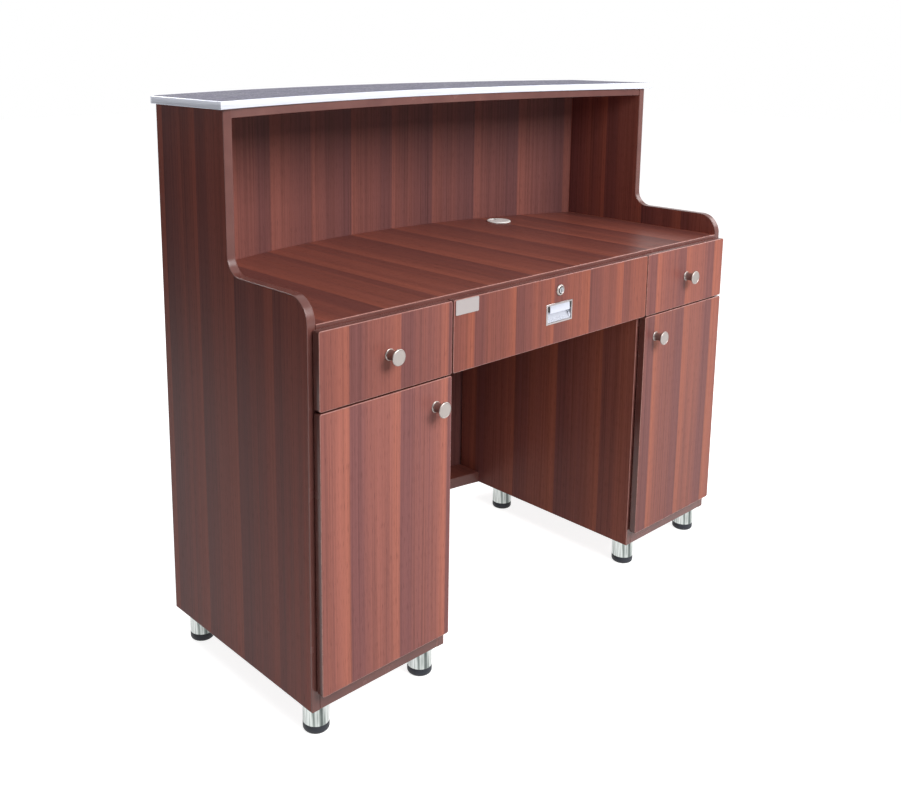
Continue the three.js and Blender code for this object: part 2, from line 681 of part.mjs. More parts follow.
// Grommet liner with a seat for the cap, and the cap with its cable notch towards the curved front.
function makeGrommet(linerGroup, capGroup) {
  const [outer, bore, seat] = [grommetDiameter / 2, grommetBore / 2, grommetSeatDiameter / 2];
  const seatLevel = grommetProud - grommetCapThickness - turnClearance;
  const top = baseLevel + worktopHeight;
  const sleeve = bore + sleeveWall;
  const profile = [
    [bore, -board], [sleeve, -board], [sleeve, jointGap], [outer, jointGap],
    [outer, grommetProud - grommetChamfer], [outer - grommetChamfer, grommetProud],
    [seat, grommetProud], [seat, seatLevel], [bore, seatLevel], [bore, -board]];
  addPiece(linerGroup, 'grommet_liner', turned(profile, wideSides), whitePlastic, grommetX, grommetY, top);
  const cap = barZ(grommetSeatDiameter - 2 * turnClearance, grommetCapThickness, wideSides);
  const notch = cuboid(notchWidth / 2, [notchReach, outer], grommetProud);
  const capLevel = top + grommetProud - grommetCapThickness / 2;
  addPiece(capGroup, 'grommet_cap', cut(cap, notch), whitePlastic, grommetX, grommetY, capLevel);
}

// The desk stands with its box centred on the origin.
const desk = new THREE.Group();
desk.position.y = -(frontMost + rearMost) / 2;
const carcass = makeCarcass();
const centreDrawer = new THREE.Group();
const lockPlug = new THREE.Group();
const grommetCap = new THREE.Group();
desk.add(carcass, makeCounter(), makeLegs(), centreDrawer, grommetCap);
centreDrawer.add(lockPlug);
for (const side of sides) {
  const drawer = new THREE.Group();
  const door = new THREE.Group();
  makePedestalDrawer(side, drawer, carcass);
  makeDoor(side, door, carcass);
  desk.add(drawer, door);
}
makeCentreDrawer(centreDrawer, carcass);
makeLock(centreDrawer, lockPlug);
makeGrommet(carcass, grommetCap);

const model = new THREE.Group();
model.add(desk);
export default model;
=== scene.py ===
import math
import bmesh
import bpy
import numpy as np
from mathutils import Matrix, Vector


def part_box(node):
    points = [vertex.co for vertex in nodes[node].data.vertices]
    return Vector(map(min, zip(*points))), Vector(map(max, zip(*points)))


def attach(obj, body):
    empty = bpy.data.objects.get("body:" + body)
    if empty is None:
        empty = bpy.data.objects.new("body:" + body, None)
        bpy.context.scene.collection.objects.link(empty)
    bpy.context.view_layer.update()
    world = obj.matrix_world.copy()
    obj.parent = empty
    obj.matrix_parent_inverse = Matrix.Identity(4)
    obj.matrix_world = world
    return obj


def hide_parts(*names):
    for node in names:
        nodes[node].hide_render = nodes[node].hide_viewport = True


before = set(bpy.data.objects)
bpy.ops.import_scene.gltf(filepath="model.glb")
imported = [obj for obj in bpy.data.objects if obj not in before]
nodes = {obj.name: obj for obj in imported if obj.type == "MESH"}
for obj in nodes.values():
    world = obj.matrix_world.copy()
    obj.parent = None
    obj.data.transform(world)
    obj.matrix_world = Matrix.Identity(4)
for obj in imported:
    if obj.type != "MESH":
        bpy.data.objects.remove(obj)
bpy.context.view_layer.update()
print("loaded", len(nodes), "solids of the reception desk")

# lengths in metres, staff side towards -Y
carcass = {
    "front": -0.27175,        # front edge of the side panels
    "base": 0.058,            # underside of the side panels
    "height": 1.021,
    "depth": 0.456,
    "outerHalf": 0.610,
    "innerHalf": 0.592,
    "board": 0.018,
    "arris": 0.0011,          # softened edge of the boards
    "glue": 0.0002,
    "wallBow": 0.125,
}
front, base = carcass["front"], carcass["base"]


def linear(red, green, blue):
    # a colour given in 0-255 steps, as the linear values that the shader takes
    c = np.array([red, green, blue], float) / 255
    return (*np.where(c > 0.04045, ((c + 0.055) / 1.055) ** 2.4, c / 12.92).tolist(), 1.0)


# meshes
meshing = {
    "boardSharp": 35.0,       # edges that turn by more than this many degrees stay sharp
    "turnedSharp": 40.0,
    "railSharp": 50.0,
    "merge": 1e-6,
    "arrisSteps": 4,
    "hold": 0.0028,           # most that the holding ring beside an arris lies in from the edge
}
boardSlots = {"face": 0, "rim": 1, "arris": 2}
turnAxes = {"XYZ": [0, 1, 2], "YZX": [2, 0, 1], "ZXY": [1, 2, 0]}  # outline axes, then thickness axis


def putMesh(name, points, faces, finishes, slots=None, sharp=meshing["boardSharp"], mend=False):
    # a smooth mesh that stays sharp where it turns by more than the given angle
    mesh = bpy.data.meshes.new(name)
    mesh.from_pydata(np.asarray(points, float).tolist(), [], faces)
    for finish in finishes:
        mesh.materials.append(finish)
    if slots is not None:
        mesh.polygons.foreach_set("material_index", np.asarray(slots, np.int32))
    if mend:
        work = bmesh.new()
        work.from_mesh(mesh)
        bmesh.ops.remove_doubles(work, verts=work.verts, dist=meshing["merge"])
        bmesh.ops.recalc_face_normals(work, faces=work.faces)
        work.to_mesh(mesh)
        work.free()
    mesh.polygons.foreach_set("use_smooth", np.ones(len(mesh.polygons), bool))
    mesh.set_sharp_from_angle(angle=math.radians(sharp))
    mesh.update()
    piece = bpy.data.objects.new(name, mesh)
    bpy.context.scene.collection.objects.link(piece)
    return piece


def standsFor(piece, body, slot, *solids):
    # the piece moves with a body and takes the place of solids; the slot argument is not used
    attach(piece, body)
    if solids:
        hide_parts(*solids)
    return piece


def middle(node):
    # half way between the two corners of a solid's box
    return tuple((a + b) / 2 for a, b in zip(*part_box(node)))


def stackQuads(rings, count):
    # four corners of each patch between a ring and the next, outwards where rings run anticlockwise
    i, j = np.meshgrid(np.arange(rings - 1), np.arange(count), indexing="ij")
    k = (j + 1) % count
    quads = np.stack([i * count + j, i * count + k, (i + 1) * count + k, (i + 1) * count + j], -1)
    return quads.reshape(-1, 4)


def mitres(outline):
    # at each corner the two edge normals added, over one plus their dot product: both edges move alike
    def normal(edge):
        return np.stack([edge[:, 1], -edge[:, 0]], 1) / np.linalg.norm(edge, axis=1, keepdims=True)
    a = normal(outline - np.roll(outline, 1, 0))
    b = normal(np.roll(outline, -1, 0) - outline)
    return (a + b) / (1 + (a * b).sum(1, keepdims=True))


def boardRings(outline, low, high, arris):
    # the outline drawn in by r(1 - sin t) while it rises by r(1 - cos t): a quarter round on both faces,
    # with a holding ring beside each round so that the flats stay flat
    t = np.linspace(0, np.pi / 2, meshing["arrisSteps"] + 1)
    hold = min(3 * arris, meshing["hold"])
    rise, inset = arris * (1 - np.cos(t)), arris * (1 - np.sin(t))
    insets = np.concatenate([[hold], inset, [0, 0], inset[::-1], [hold]])
    levels = np.concatenate([[low], low + rise, [low + hold, high - hold], high - rise[::-1], [high]])
    flat = outline[None] - insets[:, None, None] * mitres(outline)[None]
    return np.concatenate([flat, np.broadcast_to(levels[:, None, None], (*flat.shape[:2], 1))], 2)


def splitCap(ring, cut, holes):
    # a cap with holes on one line is two polygons that meet along that line
    a, b = cut
    lower = [ring[a:b + 1]] + [h[:len(h) // 2 + 1][::-1] for h in holes[::-1]]
    upper = [ring[b:], ring[:a + 1]] + [np.concatenate([h[:1], h[len(h) // 2:][::-1]]) for h in holes]
    return np.concatenate(lower), np.concatenate(upper)


def makeBoard(name, outline, low, high, axes, finishes, arris=carcass["arris"], cut=None,
              lowHoles=(), highHoles=(), through=()):
    # prism of an anticlockwise outline with rounded arrises; a blind hole is (ring, depth), a through hole
    # is a ring, and a third finish is for the arrises
    rings = boardRings(outline, low, high, arris)
    rows, count = rings.shape[:2]
    points = [rings.reshape(-1, 3)]
    slots = np.full((rows - 1, count), boardSlots["rim"])
    slots[[0, -1]] = boardSlots["face"]
    if len(finishes) > boardSlots["arris"]:
        steps = meshing["arrisSteps"]
        slots[1:1 + steps] = slots[-1 - steps:-1] = boardSlots["arris"]
    faces, faceSlots = stackQuads(rows, count).tolist(), slots.ravel().tolist()
    total = rows * count

    def addRing(ring, level):
        nonlocal total
        points.append(np.column_stack([ring, np.full(len(ring), level)]))
        total += len(ring)
        return np.arange(total - len(ring), total)

    def addFaces(made, slot):
        faces.extend(made)
        faceSlots.extend([boardSlots[slot]] * len(made))

    def addWall(lower, upper):
        addFaces(np.stack([lower, upper, np.roll(upper, -1), np.roll(lower, -1)], 1).tolist(), "rim")

    mouths = {"low": [], "high": []}
    for ring, depth in lowHoles:
        mouth, floor = addRing(ring, low), addRing(ring, low + depth)
        addWall(mouth, floor)
        addFaces([floor[::-1].tolist()], "rim")
        mouths["low"].append(mouth)
    for ring, depth in highHoles:
        mouth, floor = addRing(ring, high), addRing(ring, high - depth)
        addWall(floor, mouth)
        addFaces([floor.tolist()], "rim")
        mouths["high"].append(mouth)
    for ring in through:
        bottom, top = addRing(ring, low), addRing(ring, high)
        addWall(bottom, top)
        mouths["low"].append(bottom)
        mouths["high"].append(top)
    first, last = np.arange(count), np.arange((rows - 1) * count, rows * count)
    for side, ring in (("low", first), ("high", last)):
        caps = splitCap(ring, cut, mouths[side]) if mouths[side] else [ring]
        addFaces([(c[::-1] if side == "low" else c).tolist() for c in caps], "face")
    return putMesh(name, np.concatenate(points)[:, turnAxes[axes]], faces, finishes, faceSlots)


def makeTurned(name, profile, centre, finish, sides=64, facing="up"):
    # each profile point (radius, height) carried round the axis: x = r cos a, y = r sin a
    profile = np.asarray(profile, float)
    angle = np.arange(sides) * 2 * np.pi / sides
    closed = profile[0, 0] > 0 and profile[-1, 0] > 0
    ringRows = profile if closed else profile[1:-1]
    rows = len(ringRows)
    points = np.stack([ringRows[:, :1] * np.cos(angle), ringRows[:, :1] * np.sin(angle),
                       np.broadcast_to(ringRows[:, 1:], (rows, sides))], -1).reshape(-1, 3)
    faces = stackQuads(rows, sides).tolist()
    step = np.arange(sides)
    after = (step + 1) % sides
    last = (rows - 1) * sides
    if closed:
        faces += np.stack([last + step, last + after, after, step], 1).tolist()
    else:
        points = np.vstack([points, [[0, 0, profile[0, 1]], [0, 0, profile[-1, 1]]]])
        foot, tip = len(points) - 2, len(points) - 1
        faces += np.stack([np.full(sides, foot), after, step], 1).tolist()
        faces += np.stack([last + step, last + after, np.full(sides, tip)], 1).tolist()
    reach = np.maximum(np.linalg.norm(points[:, :2], axis=1, keepdims=True), meshing["merge"])
    around = np.concatenate([points[:, :2] / reach, points[:, 2:]], 1)
    if facing == "staff":  # axis towards -Y
        points = np.stack([points[:, 0], -points[:, 2], points[:, 1]], 1)
    piece = putMesh(name, points + np.asarray(centre), faces, [finish], sharp=meshing["turnedSharp"])
    spun = piece.data.attributes.new("around", "FLOAT_VECTOR", "POINT")
    spun.data.foreach_set("vector", around.ravel())
    return piece


def makeRail(name, outline, section, finish, axes="XYZ", level=0.0):
    # a closed section of (outwards, up) points carried round a closed outline along its mitres
    ring = outline[:, None] + mitres(outline)[:, None] * section[None, :, :1]
    up = np.broadcast_to(section[None, :, 1:] + level, (*ring.shape[:2], 1))
    points = np.concatenate([ring, up], 2).reshape(-1, 3)
    n, m = ring.shape[:2]
    i, j = np.meshgrid(np.arange(n), np.arange(m), indexing="ij")
    p, q = (i + 1) % n, (j + 1) % m
    faces = np.stack([i * m + j, p * m + j, p * m + q, i * m + q], -1).reshape(-1, 4)
    return putMesh(name, points[:, turnAxes[axes]], faces.tolist(), [finish], sharp=meshing["railSharp"])


def makeShell(name, face, back, finish):
    # two grids of the same size, stitched along their four sides into one closed sheet
    u, v = face.shape[:2]
    index = np.arange(u * v).reshape(u, v)
    patch = np.stack([index[:-1, :-1], index[1:, :-1], index[1:, 1:], index[:-1, 1:]], -1).reshape(-1, 4)
    rim = np.concatenate([index[0, :-1], index[:-1, -1], index[-1, :0:-1], index[:0:-1, 0]])
    away = np.roll(rim, -1)
    side = np.stack([rim, away, away + u * v, rim + u * v], 1)
    faces = np.concatenate([patch, patch[:, ::-1] + u * v, side])
    points = np.concatenate([face.reshape(-1, 3), back.reshape(-1, 3)])
    return putMesh(name, points, faces.tolist(), [finish], sharp=meshing["turnedSharp"], mend=True)


# outlines

def arc(centre, radius, start, end, steps):
    # centre plus radius times (cos a, sin a), from one angle to the other
    a = np.radians(np.linspace(start, end, steps + 1))
    return np.stack([centre[0] + radius * np.cos(a), centre[1] + radius * np.sin(a)], 1)


def circleRing(centre, radius, sides):
    # a whole turn that starts at the least first coordinate, where a split cap meets it
    return arc(centre, radius, 180, 540, sides)[:-1]


def bow(half, endY, rise):
    # circle through (+-half, endY) whose middle stands rise further towards +Y
    radius = (half ** 2 + rise ** 2) / (2 * rise)
    return {"radius": radius, "centre": endY + rise - radius}


def bowInside(curve, inset):
    # the same circle with a smaller radius
    return {"radius": curve["radius"] - inset, "centre": curve["centre"]}


def bowY(curve, x):
    # centre plus the root of radius squared less x squared
    return curve["centre"] + np.sqrt(curve["radius"] ** 2 - np.asarray(x) ** 2)


def bowLine(curve, fromX, toX, steps):
    # even steps in x along the bow
    x = np.linspace(fromX, toX, steps + 1)
    return np.stack([x, bowY(curve, x)], 1)


def bowedOutline(frontCurve, rearCurve, half, steps):
    # one bow there and the other back
    return np.concatenate([bowLine(frontCurve, -half, half, steps), bowLine(rearCurve, half, -half, steps)])


def rectangle(u0, u1, v0, v1):
    return np.array([[u0, v0], [u1, v0], [u1, v1], [u0, v1]])


def slotRing(u0, u1, v0, v1):
    # rectangle with a point in the middle of both ends, where a split cap meets it
    mid = (v0 + v1) / 2
    return np.array([[u0, mid], [u0, v0], [u1, v0], [u1, mid], [u1, v1], [u0, v1]])


def roundedCorners(u0, u1, v0, v1, radius, steps):
    # four quarter rounds, anticlockwise from the corner of the least coordinates
    u0, u1, v0, v1 = u0 + radius, u1 - radius, v0 + radius, v1 - radius
    centres = ((u0, v0), (u1, v0), (u1, v1), (u0, v1))
    return [arc(c, radius, 180 + 90 * i, 270 + 90 * i, steps) for i, c in enumerate(centres)]


# node helpers

def newFinish(name):
    finish = bpy.data.materials.new(name)
    finish.use_nodes = True
    tree = finish.node_tree
    tree.nodes.clear()
    output = tree.nodes.new("ShaderNodeOutputMaterial")
    shader = tree.nodes.new("ShaderNodeBsdfPrincipled")
    tree.links.new(shader.outputs[0], output.inputs[0])
    return finish, tree, shader


def plug(tree, socket, value):
    # a link from another node, or a plain value
    if isinstance(value, bpy.types.NodeSocket):
        tree.links.new(value, socket)
    else:
        socket.default_value = value


def sums(tree, operation, a, b=0.0, clamp=False):
    # one math node on two values, or on one value alone
    made = tree.nodes.new("ShaderNodeMath")
    made.operation, made.use_clamp = operation, clamp
    plug(tree, made.inputs[0], a)
    plug(tree, made.inputs[1], b)
    return made.outputs[0]


def blendColour(tree, factor, a, b, mode="MIX"):
    made = tree.nodes.new("ShaderNodeMix")
    made.data_type, made.blend_type = "RGBA", mode
    plug(tree, made.inputs[0], factor)
    plug(tree, made.inputs[6], a)  # the two colours of this node
    plug(tree, made.inputs[7], b)
    return made.outputs[2]


def spread(tree, value, fromLow, fromHigh, toLow=0.0, toHigh=1.0):
    # a straight line from one span of values to another
    made = tree.nodes.new("ShaderNodeMapRange")
    for socket, number in zip(made.inputs[1:5], (fromLow, fromHigh, toLow, toHigh)):
        socket.default_value = number
    plug(tree, made.inputs[0], value)
    return made.outputs[0]


def noiseTo(tree, value, low, high):
    # noise lies mostly between 0.3 and 0.7
    return spread(tree, value, 0.3, 0.7, low, high)


def vector(tree, x, y, z):
    made = tree.nodes.new("ShaderNodeCombineXYZ")
    for socket, value in zip(made.inputs, (x, y, z)):
        plug(tree, socket, value)
    return made.outputs[0]


def overSizes(tree, values, sizes, layer=None):
    # each value over its own size, so that noise on them is drawn out; a layer number picks another pattern
    parts = [sums(tree, "DIVIDE", value, size) for value, size in zip(values, sizes)]
    return vector(tree, *parts, *([] if layer is None else [layer]))


def noise(tree, where, scale, detail=2.0, rough=0.5):
    made = tree.nodes.new("ShaderNodeTexNoise")
    plug(tree, made.inputs["Vector"], where)
    made.inputs["Scale"].default_value = scale
    made.inputs["Detail"].default_value = detail
    made.inputs["Roughness"].default_value = rough
    return made.outputs["Fac"]


def ramp(tree, value, stops):
    # stops are (place, grey) or (place, colour)
    made = tree.nodes.new("ShaderNodeValToRGB")
    points = made.color_ramp.elements
    points[0].position, points[1].position = stops[0][0], stops[-1][0]
    for place, _ in stops[1:-1]:
        points.new(place)
    for point, (_, shade) in zip(points, stops):
        point.color = (shade, shade, shade, 1) if np.isscalar(shade) else shade
    plug(tree, made.inputs[0], value)
    return made.outputs[0]


def relief(tree, shader, height, strength, distance):
    bump = tree.nodes.new("ShaderNodeBump")
    bump.inputs["Strength"].default_value = strength
    bump.inputs["Distance"].default_value = distance
    plug(tree, bump.inputs["Height"], height)
    tree.links.new(bump.outputs[0], shader.inputs["Normal"])


def roughened(tree, value, rough, marks, share):
    # noise between two roughnesses, plus a share of the marks
    return sums(tree, "ADD", noiseTo(tree, value, *rough), sums(tree, "MULTIPLY", marks, share))


def coat(tree, shader, colour, rough, sheen=0.5, metallic=0.0):
    plug(tree, shader.inputs["Base Color"], colour)
    plug(tree, shader.inputs["Roughness"], rough)
    shader.inputs["Specular IOR Level"].default_value = sheen
    shader.inputs["Metallic"].default_value = metallic


def mapped(tree, where, scale, rotation=(0.0, 0.0, 0.0)):
    made = tree.nodes.new("ShaderNodeMapping")
    made.inputs["Scale"].default_value = scale
    made.inputs["Rotation"].default_value = rotation
    tree.links.new(where, made.inputs["Vector"])
    return made.outputs[0]


def objectAxes(tree):
    place = tree.nodes.new("ShaderNodeTexCoord")
    split = tree.nodes.new("ShaderNodeSeparateXYZ")
    tree.links.new(place.outputs["Object"], split.inputs[0])
    return place.outputs["Object"], dict(zip("XYZ", split.outputs))


def newGroup(name, takes, gives):
    # takes maps each input to its kind of socket; all outputs are numbers
    tree = bpy.data.node_groups.new(name, "ShaderNodeTree")
    for title, kind in takes.items():
        tree.interface.new_socket(name=title, in_out="INPUT", socket_type="NodeSocket" + kind)
    for title in gives:
        tree.interface.new_socket(name=title, in_out="OUTPUT", socket_type="NodeSocketFloat")
    return tree, tree.nodes.new("NodeGroupInput").outputs, tree.nodes.new("NodeGroupOutput").inputs


def useGroup(tree, group, **values):
    made = tree.nodes.new("ShaderNodeGroup")
    made.node_tree = group
    for title, value in values.items():
        plug(tree, made.inputs[title], value)
    return made.outputs


# laminate leaves: each leaf runs from dark to light across its width and ends in a sharp line
leafLook = {
    "sway": {"squash": 2.0, "scale": 0.9, "reach": 0.014},  # slow wander of the lines between leaves
    "shade": [(0.0, 0.10), (0.10, 0.04), (0.34, 0.36), (0.48, 0.50), (0.62, 0.44), (0.78, 0.66), (0.93, 1.0),
              (0.975, 0.92), (1.0, 0.10)],
    "leafLift": 0.30,                                       # one leaf against the next
    "wide": {"sizes": (0.019, 1.4), "layer": 3.7, "lift": 0.75},
    "fine": {"sizes": (0.0036, 0.7), "layer": 1.3, "detail": 4.0, "rough": 0.62},
    "pore": {"sizes": (0.0010, 0.022), "layer": 5.1, "from": 0.60, "to": 0.72},
}


def leafGrainGroup():
    # tone, fine streaks and short pores over (across, along) the leaves
    tree, takes, gives = newGroup("leafGrain", {"Across": "Float", "Along": "Float", "Leaf": "Float"},
                                  ["Tone", "Streak", "Pore"])
    sway, wide, fine, pore = (leafLook[k] for k in ("sway", "wide", "fine", "pore"))
    across, along = takes["Across"], takes["Along"]
    squashed = vector(tree, sums(tree, "MULTIPLY", across, sway["squash"]), along, 0.0)
    wander = sums(tree, "SUBTRACT", noise(tree, squashed, sway["scale"], 1.0), 0.5)
    drifted = sums(tree, "ADD", across, sums(tree, "MULTIPLY", wander, sway["reach"]))
    leaves = sums(tree, "DIVIDE", drifted, takes["Leaf"])
    chance = tree.nodes.new("ShaderNodeTexWhiteNoise")
    chance.noise_dimensions = "1D"
    plug(tree, chance.inputs["W"], sums(tree, "FLOOR", leaves))
    shade = ramp(tree, sums(tree, "FRACT", leaves), leafLook["shade"])
    lift = sums(tree, "MULTIPLY", sums(tree, "SUBTRACT", chance.outputs["Value"], 0.5), leafLook["leafLift"])
    broad = noise(tree, overSizes(tree, (drifted, along), wide["sizes"], wide["layer"]), 1.0)
    broadLift = sums(tree, "MULTIPLY", sums(tree, "SUBTRACT", broad, 0.5), wide["lift"])
    tone = sums(tree, "ADD", sums(tree, "ADD", shade, lift), broadLift, clamp=True)
    tree.links.new(tone, gives["Tone"])
    streak = noise(tree, overSizes(tree, (drifted, along), fine["sizes"], fine["layer"]), 1.0, fine["detail"],
                   fine["rough"])
    tree.links.new(streak, gives["Streak"])
    dash = noise(tree, overSizes(tree, (drifted, along), pore["sizes"], pore["layer"]), 1.0, 1.0)
    tree.links.new(spread(tree, dash, pore["from"], pore["to"]), gives["Pore"])
    return tree


# uneven polish and fine marks of handled surfaces
handling = {"detail": 3.0, "rough": 0.6, "stretch": (14.0, 0.8, 14.0), "turn": (0.4, 0.2, 0.6), "from": 0.62,
            "to": 0.72}


def handledGroup():
    tree, takes, gives = newGroup("handled", {"Place": "Vector", "Scale": "Float"}, ["Smudge", "Scratch"])
    scaled = tree.nodes.new("ShaderNodeVectorMath")
    scaled.operation = "SCALE"
    tree.links.new(takes["Place"], scaled.inputs[0])
    tree.links.new(takes["Scale"], scaled.inputs["Scale"])
    smudge = noise(tree, scaled.outputs[0], 1.0, handling["detail"], handling["rough"])
    tree.links.new(smudge, gives["Smudge"])
    mark = noise(tree, mapped(tree, scaled.outputs[0], handling["stretch"], handling["turn"]), 1.0)
    tree.links.new(spread(tree, mark, handling["from"], handling["to"]), gives["Scratch"])
    return tree


leafGrain = leafGrainGroup()
handled = handledGroup()

# finishes
laminate = {
    "light": linear(172, 101, 82),
    "dark": linear(130, 80, 76),
    "pore": linear(80, 46, 44),
    "leaf": 0.113,
    "sheen": 0.12,
    "streaks": [(0.28, 0.66), (0.5, 1.0), (0.72, 1.12)],
    "poreShare": 0.42,
    "rough": (0.32, 0.42),
    "poreRough": 0.12,
    "relief": (0.12, 0.0002),
}


def laminateFinish(name, across, along, shift=0.0, mirrored=False, **changes):
    # leaves across one axis, times the fine streaks, with pores laid over them
    look = {**laminate, **changes}
    finish, tree, shader = newFinish(name)
    _, axes = objectAxes(tree)
    placed = sums(tree, "ADD", sums(tree, "MULTIPLY", axes[across], -1.0 if mirrored else 1.0), shift)
    grain = useGroup(tree, leafGrain, Across=placed, Along=axes[along], Leaf=look["leaf"])
    tone = blendColour(tree, grain["Tone"], look["dark"], look["light"])
    lined = blendColour(tree, 1.0, tone, ramp(tree, grain["Streak"], look["streaks"]), "MULTIPLY")
    dots = sums(tree, "MULTIPLY", grain["Pore"], look["poreShare"])
    rough = roughened(tree, grain["Streak"], look["rough"], grain["Pore"], look["poreRough"])
    coat(tree, shader, blendColour(tree, dots, lined, look["pore"]), rough, look["sheen"])
    relief(tree, shader, sums(tree, "SUBTRACT", grain["Streak"], grain["Pore"]), *look["relief"])
    return finish


edgeBand = {"size": 0.05, "rough": (0.20, 0.28), "sheen": 0.42, "reliefScale": 90.0, "relief": (0.04, 0.0002),
            "tones": [(0.3, linear(105, 63, 58)), (0.52, linear(112, 69, 63)), (0.75, linear(118, 74, 68))]}


def edgeBandFinish():
    # plain plastic band with soft clouds of tone
    finish, tree, shader = newFinish("edgeBand")
    where, axes = objectAxes(tree)
    cloud = noise(tree, overSizes(tree, axes.values(), (edgeBand["size"],) * 3), 1.0)
    coat(tree, shader, ramp(tree, cloud, edgeBand["tones"]), noiseTo(tree, cloud, *edgeBand["rough"]),
         edgeBand["sheen"])
    relief(tree, shader, noise(tree, where, edgeBand["reliefScale"], 1.0), *edgeBand["relief"])
    return finish


# painted highlight along the arrises of the edge band
arrisHighlight = {"scale": 70.0, "low": linear(150, 98, 90), "high": linear(184, 130, 120), "rough": (0.22, 0.34),
           "sheen": 0.45}


def arrisHighlightFinish():
    # painted highlight: the thin corner of the edge band, paler where light catches it, a little uneven and
    # smoother than the band
    finish, tree, shader = newFinish("paintedArrisHighlight")
    where, _ = objectAxes(tree)
    marks = useGroup(tree, handled, Place=where, Scale=arrisHighlight["scale"])
    paleHighlight = blendColour(tree, marks["Smudge"], arrisHighlight["low"], arrisHighlight["high"])
    coat(tree, shader, paleHighlight, noiseTo(tree, marks["Smudge"], *arrisHighlight["rough"]), arrisHighlight["sheen"])
    return finish


stoneLook = {
    "grain": 330.0,
    "cloud": {"scale": 26.0, "detail": 4.0, "rough": 0.6},
    "ground": [(0.3, linear(58, 57, 76)), (0.55, linear(75, 74, 96)), (0.75, linear(91, 88, 110))],
    "fleck": [(0.0, linear(38, 36, 50)), (0.3, linear(68, 67, 86)), (0.62, linear(85, 84, 106)),
              (0.86, linear(128, 126, 144)), (1.0, linear(176, 173, 186))],
    "fleckShare": 0.62,
    "violet": {"colour": linear(98, 84, 118), "from": 0.72, "to": 0.9, "share": 0.5},
    "rough": (0.38, 0.50),
    "sheen": 0.13,
    "relief": (0.04, 0.0002),
}


def stoneFinish():
    # cells of chance tone over a cloudy ground, some of them violet
    finish, tree, shader = newFinish("counterStone")
    where, _ = objectAxes(tree)
    cells = tree.nodes.new("ShaderNodeTexVoronoi")
    cells.inputs["Scale"].default_value = stoneLook["grain"]
    tree.links.new(where, cells.inputs["Vector"])
    split = tree.nodes.new("ShaderNodeSeparateColor")
    tree.links.new(cells.outputs["Color"], split.inputs[0])
    cloud = noise(tree, where, **stoneLook["cloud"])
    mixed = blendColour(tree, stoneLook["fleckShare"], ramp(tree, cloud, stoneLook["ground"]),
                        ramp(tree, split.outputs[0], stoneLook["fleck"]))
    violet = stoneLook["violet"]
    tint = spread(tree, split.outputs[1], violet["from"], violet["to"], 0.0, violet["share"])
    coat(tree, shader, blendColour(tree, tint, mixed, violet["colour"]),
         noiseTo(tree, cloud, *stoneLook["rough"]), stoneLook["sheen"])
    relief(tree, shader, split.outputs[2], *stoneLook["relief"])
    return finish


metalWear = {"dull": 0.86, "relief": (0.05, 0.0001)}


def metalFinish(name, colour, rough, scale, scratch):
    # one colour that dulls in smudges, with scratches that are rougher
    finish, tree, shader = newFinish(name)
    where, _ = objectAxes(tree)
    marks = useGroup(tree, handled, Place=where, Scale=scale)
    dull = (*(metalWear["dull"] * c for c in colour[:3]), 1.0)
    coat(tree, shader, blendColour(tree, marks["Smudge"], dull, colour),
         roughened(tree, marks["Smudge"], rough, marks["Scratch"], scratch), metallic=1.0)
    relief(tree, shader, marks["Scratch"], *metalWear["relief"])
    return finish


brushed = {"sizes": (0.12, 0.12, 0.0007), "detail": 3.0, "lineRough": 0.6, "scale": 30.0, "metallic": 0.85,
           "tones": [(0.25, linear(208, 211, 224)), (0.75, linear(234, 237, 247))], "rough": (0.34, 0.46),
           "scratch": 0.1, "relief": (0.08, 0.0001)}


def trimFinish():
    # brush lines along the strip: noise drawn out along X and Y
    finish, tree, shader = newFinish("brushedTrim")
    where, axes = objectAxes(tree)
    lines = noise(tree, overSizes(tree, axes.values(), brushed["sizes"]), 1.0, brushed["detail"],
                  brushed["lineRough"])
    marks = useGroup(tree, handled, Place=where, Scale=brushed["scale"])
    rough = roughened(tree, lines, brushed["rough"], marks["Scratch"], brushed["scratch"])
    coat(tree, shader, ramp(tree, lines, brushed["tones"]), rough, metallic=brushed["metallic"])
    relief(tree, shader, lines, *brushed["relief"])
    return finish


# painted reflection: the tones are the bright and dark of a room seen in the chrome
tube = {"stretch": (2.4, 2.4, 5.0), "detail": 3.0, "bandRough": 0.6, "rough": (0.10, 0.2),
        "tones": [(0.32, linear(72, 78, 77)), (0.44, linear(134, 142, 139)), (0.57, linear(206, 211, 209)),
                  (0.72, linear(138, 146, 143))]}


def tubeFinish():
    # painted reflection: bands of bright and dark round the tube, as polished chrome shows a room
    finish, tree, shader = newFinish("chromeTubePaintedReflection")
    around = tree.nodes.new("ShaderNodeAttribute")
    around.attribute_name = "around"
    paintedReflectionBands = noise(tree, mapped(tree, around.outputs["Vector"], tube["stretch"]), 1.0, tube["detail"],
                  tube["bandRough"])
    coat(tree, shader, ramp(tree, paintedReflectionBands, tube["tones"]), noiseTo(tree, paintedReflectionBands, *tube["rough"]), metallic=1.0)
    return finish


rubberLook = {"grit": 1400.0, "tones": [(0.3, linear(18, 21, 29)), (0.7, linear(32, 37, 50))],
              "dust": {"colour": linear(110, 106, 100), "height": 0.006, "share": 0.55, "scale": 160.0,
                       "detail": 3.0},
              "rough": (0.42, 0.6), "relief": (0.2, 0.0002)}


def rubberFinish():
    # gritty black with dust that fades away above the tread
    finish, tree, shader = newFinish("footRubber")
    where, axes = objectAxes(tree)
    dust = rubberLook["dust"]
    grit = noise(tree, where, rubberLook["grit"])
    low = spread(tree, axes["Z"], 0.0, dust["height"], dust["share"], 0.0)
    patchy = sums(tree, "MULTIPLY", low, noise(tree, where, dust["scale"], dust["detail"]))
    black = ramp(tree, grit, rubberLook["tones"])
    coat(tree, shader, blendColour(tree, patchy, black, dust["colour"]),
         noiseTo(tree, grit, *rubberLook["rough"]))
    relief(tree, shader, grit, *rubberLook["relief"])
    return finish


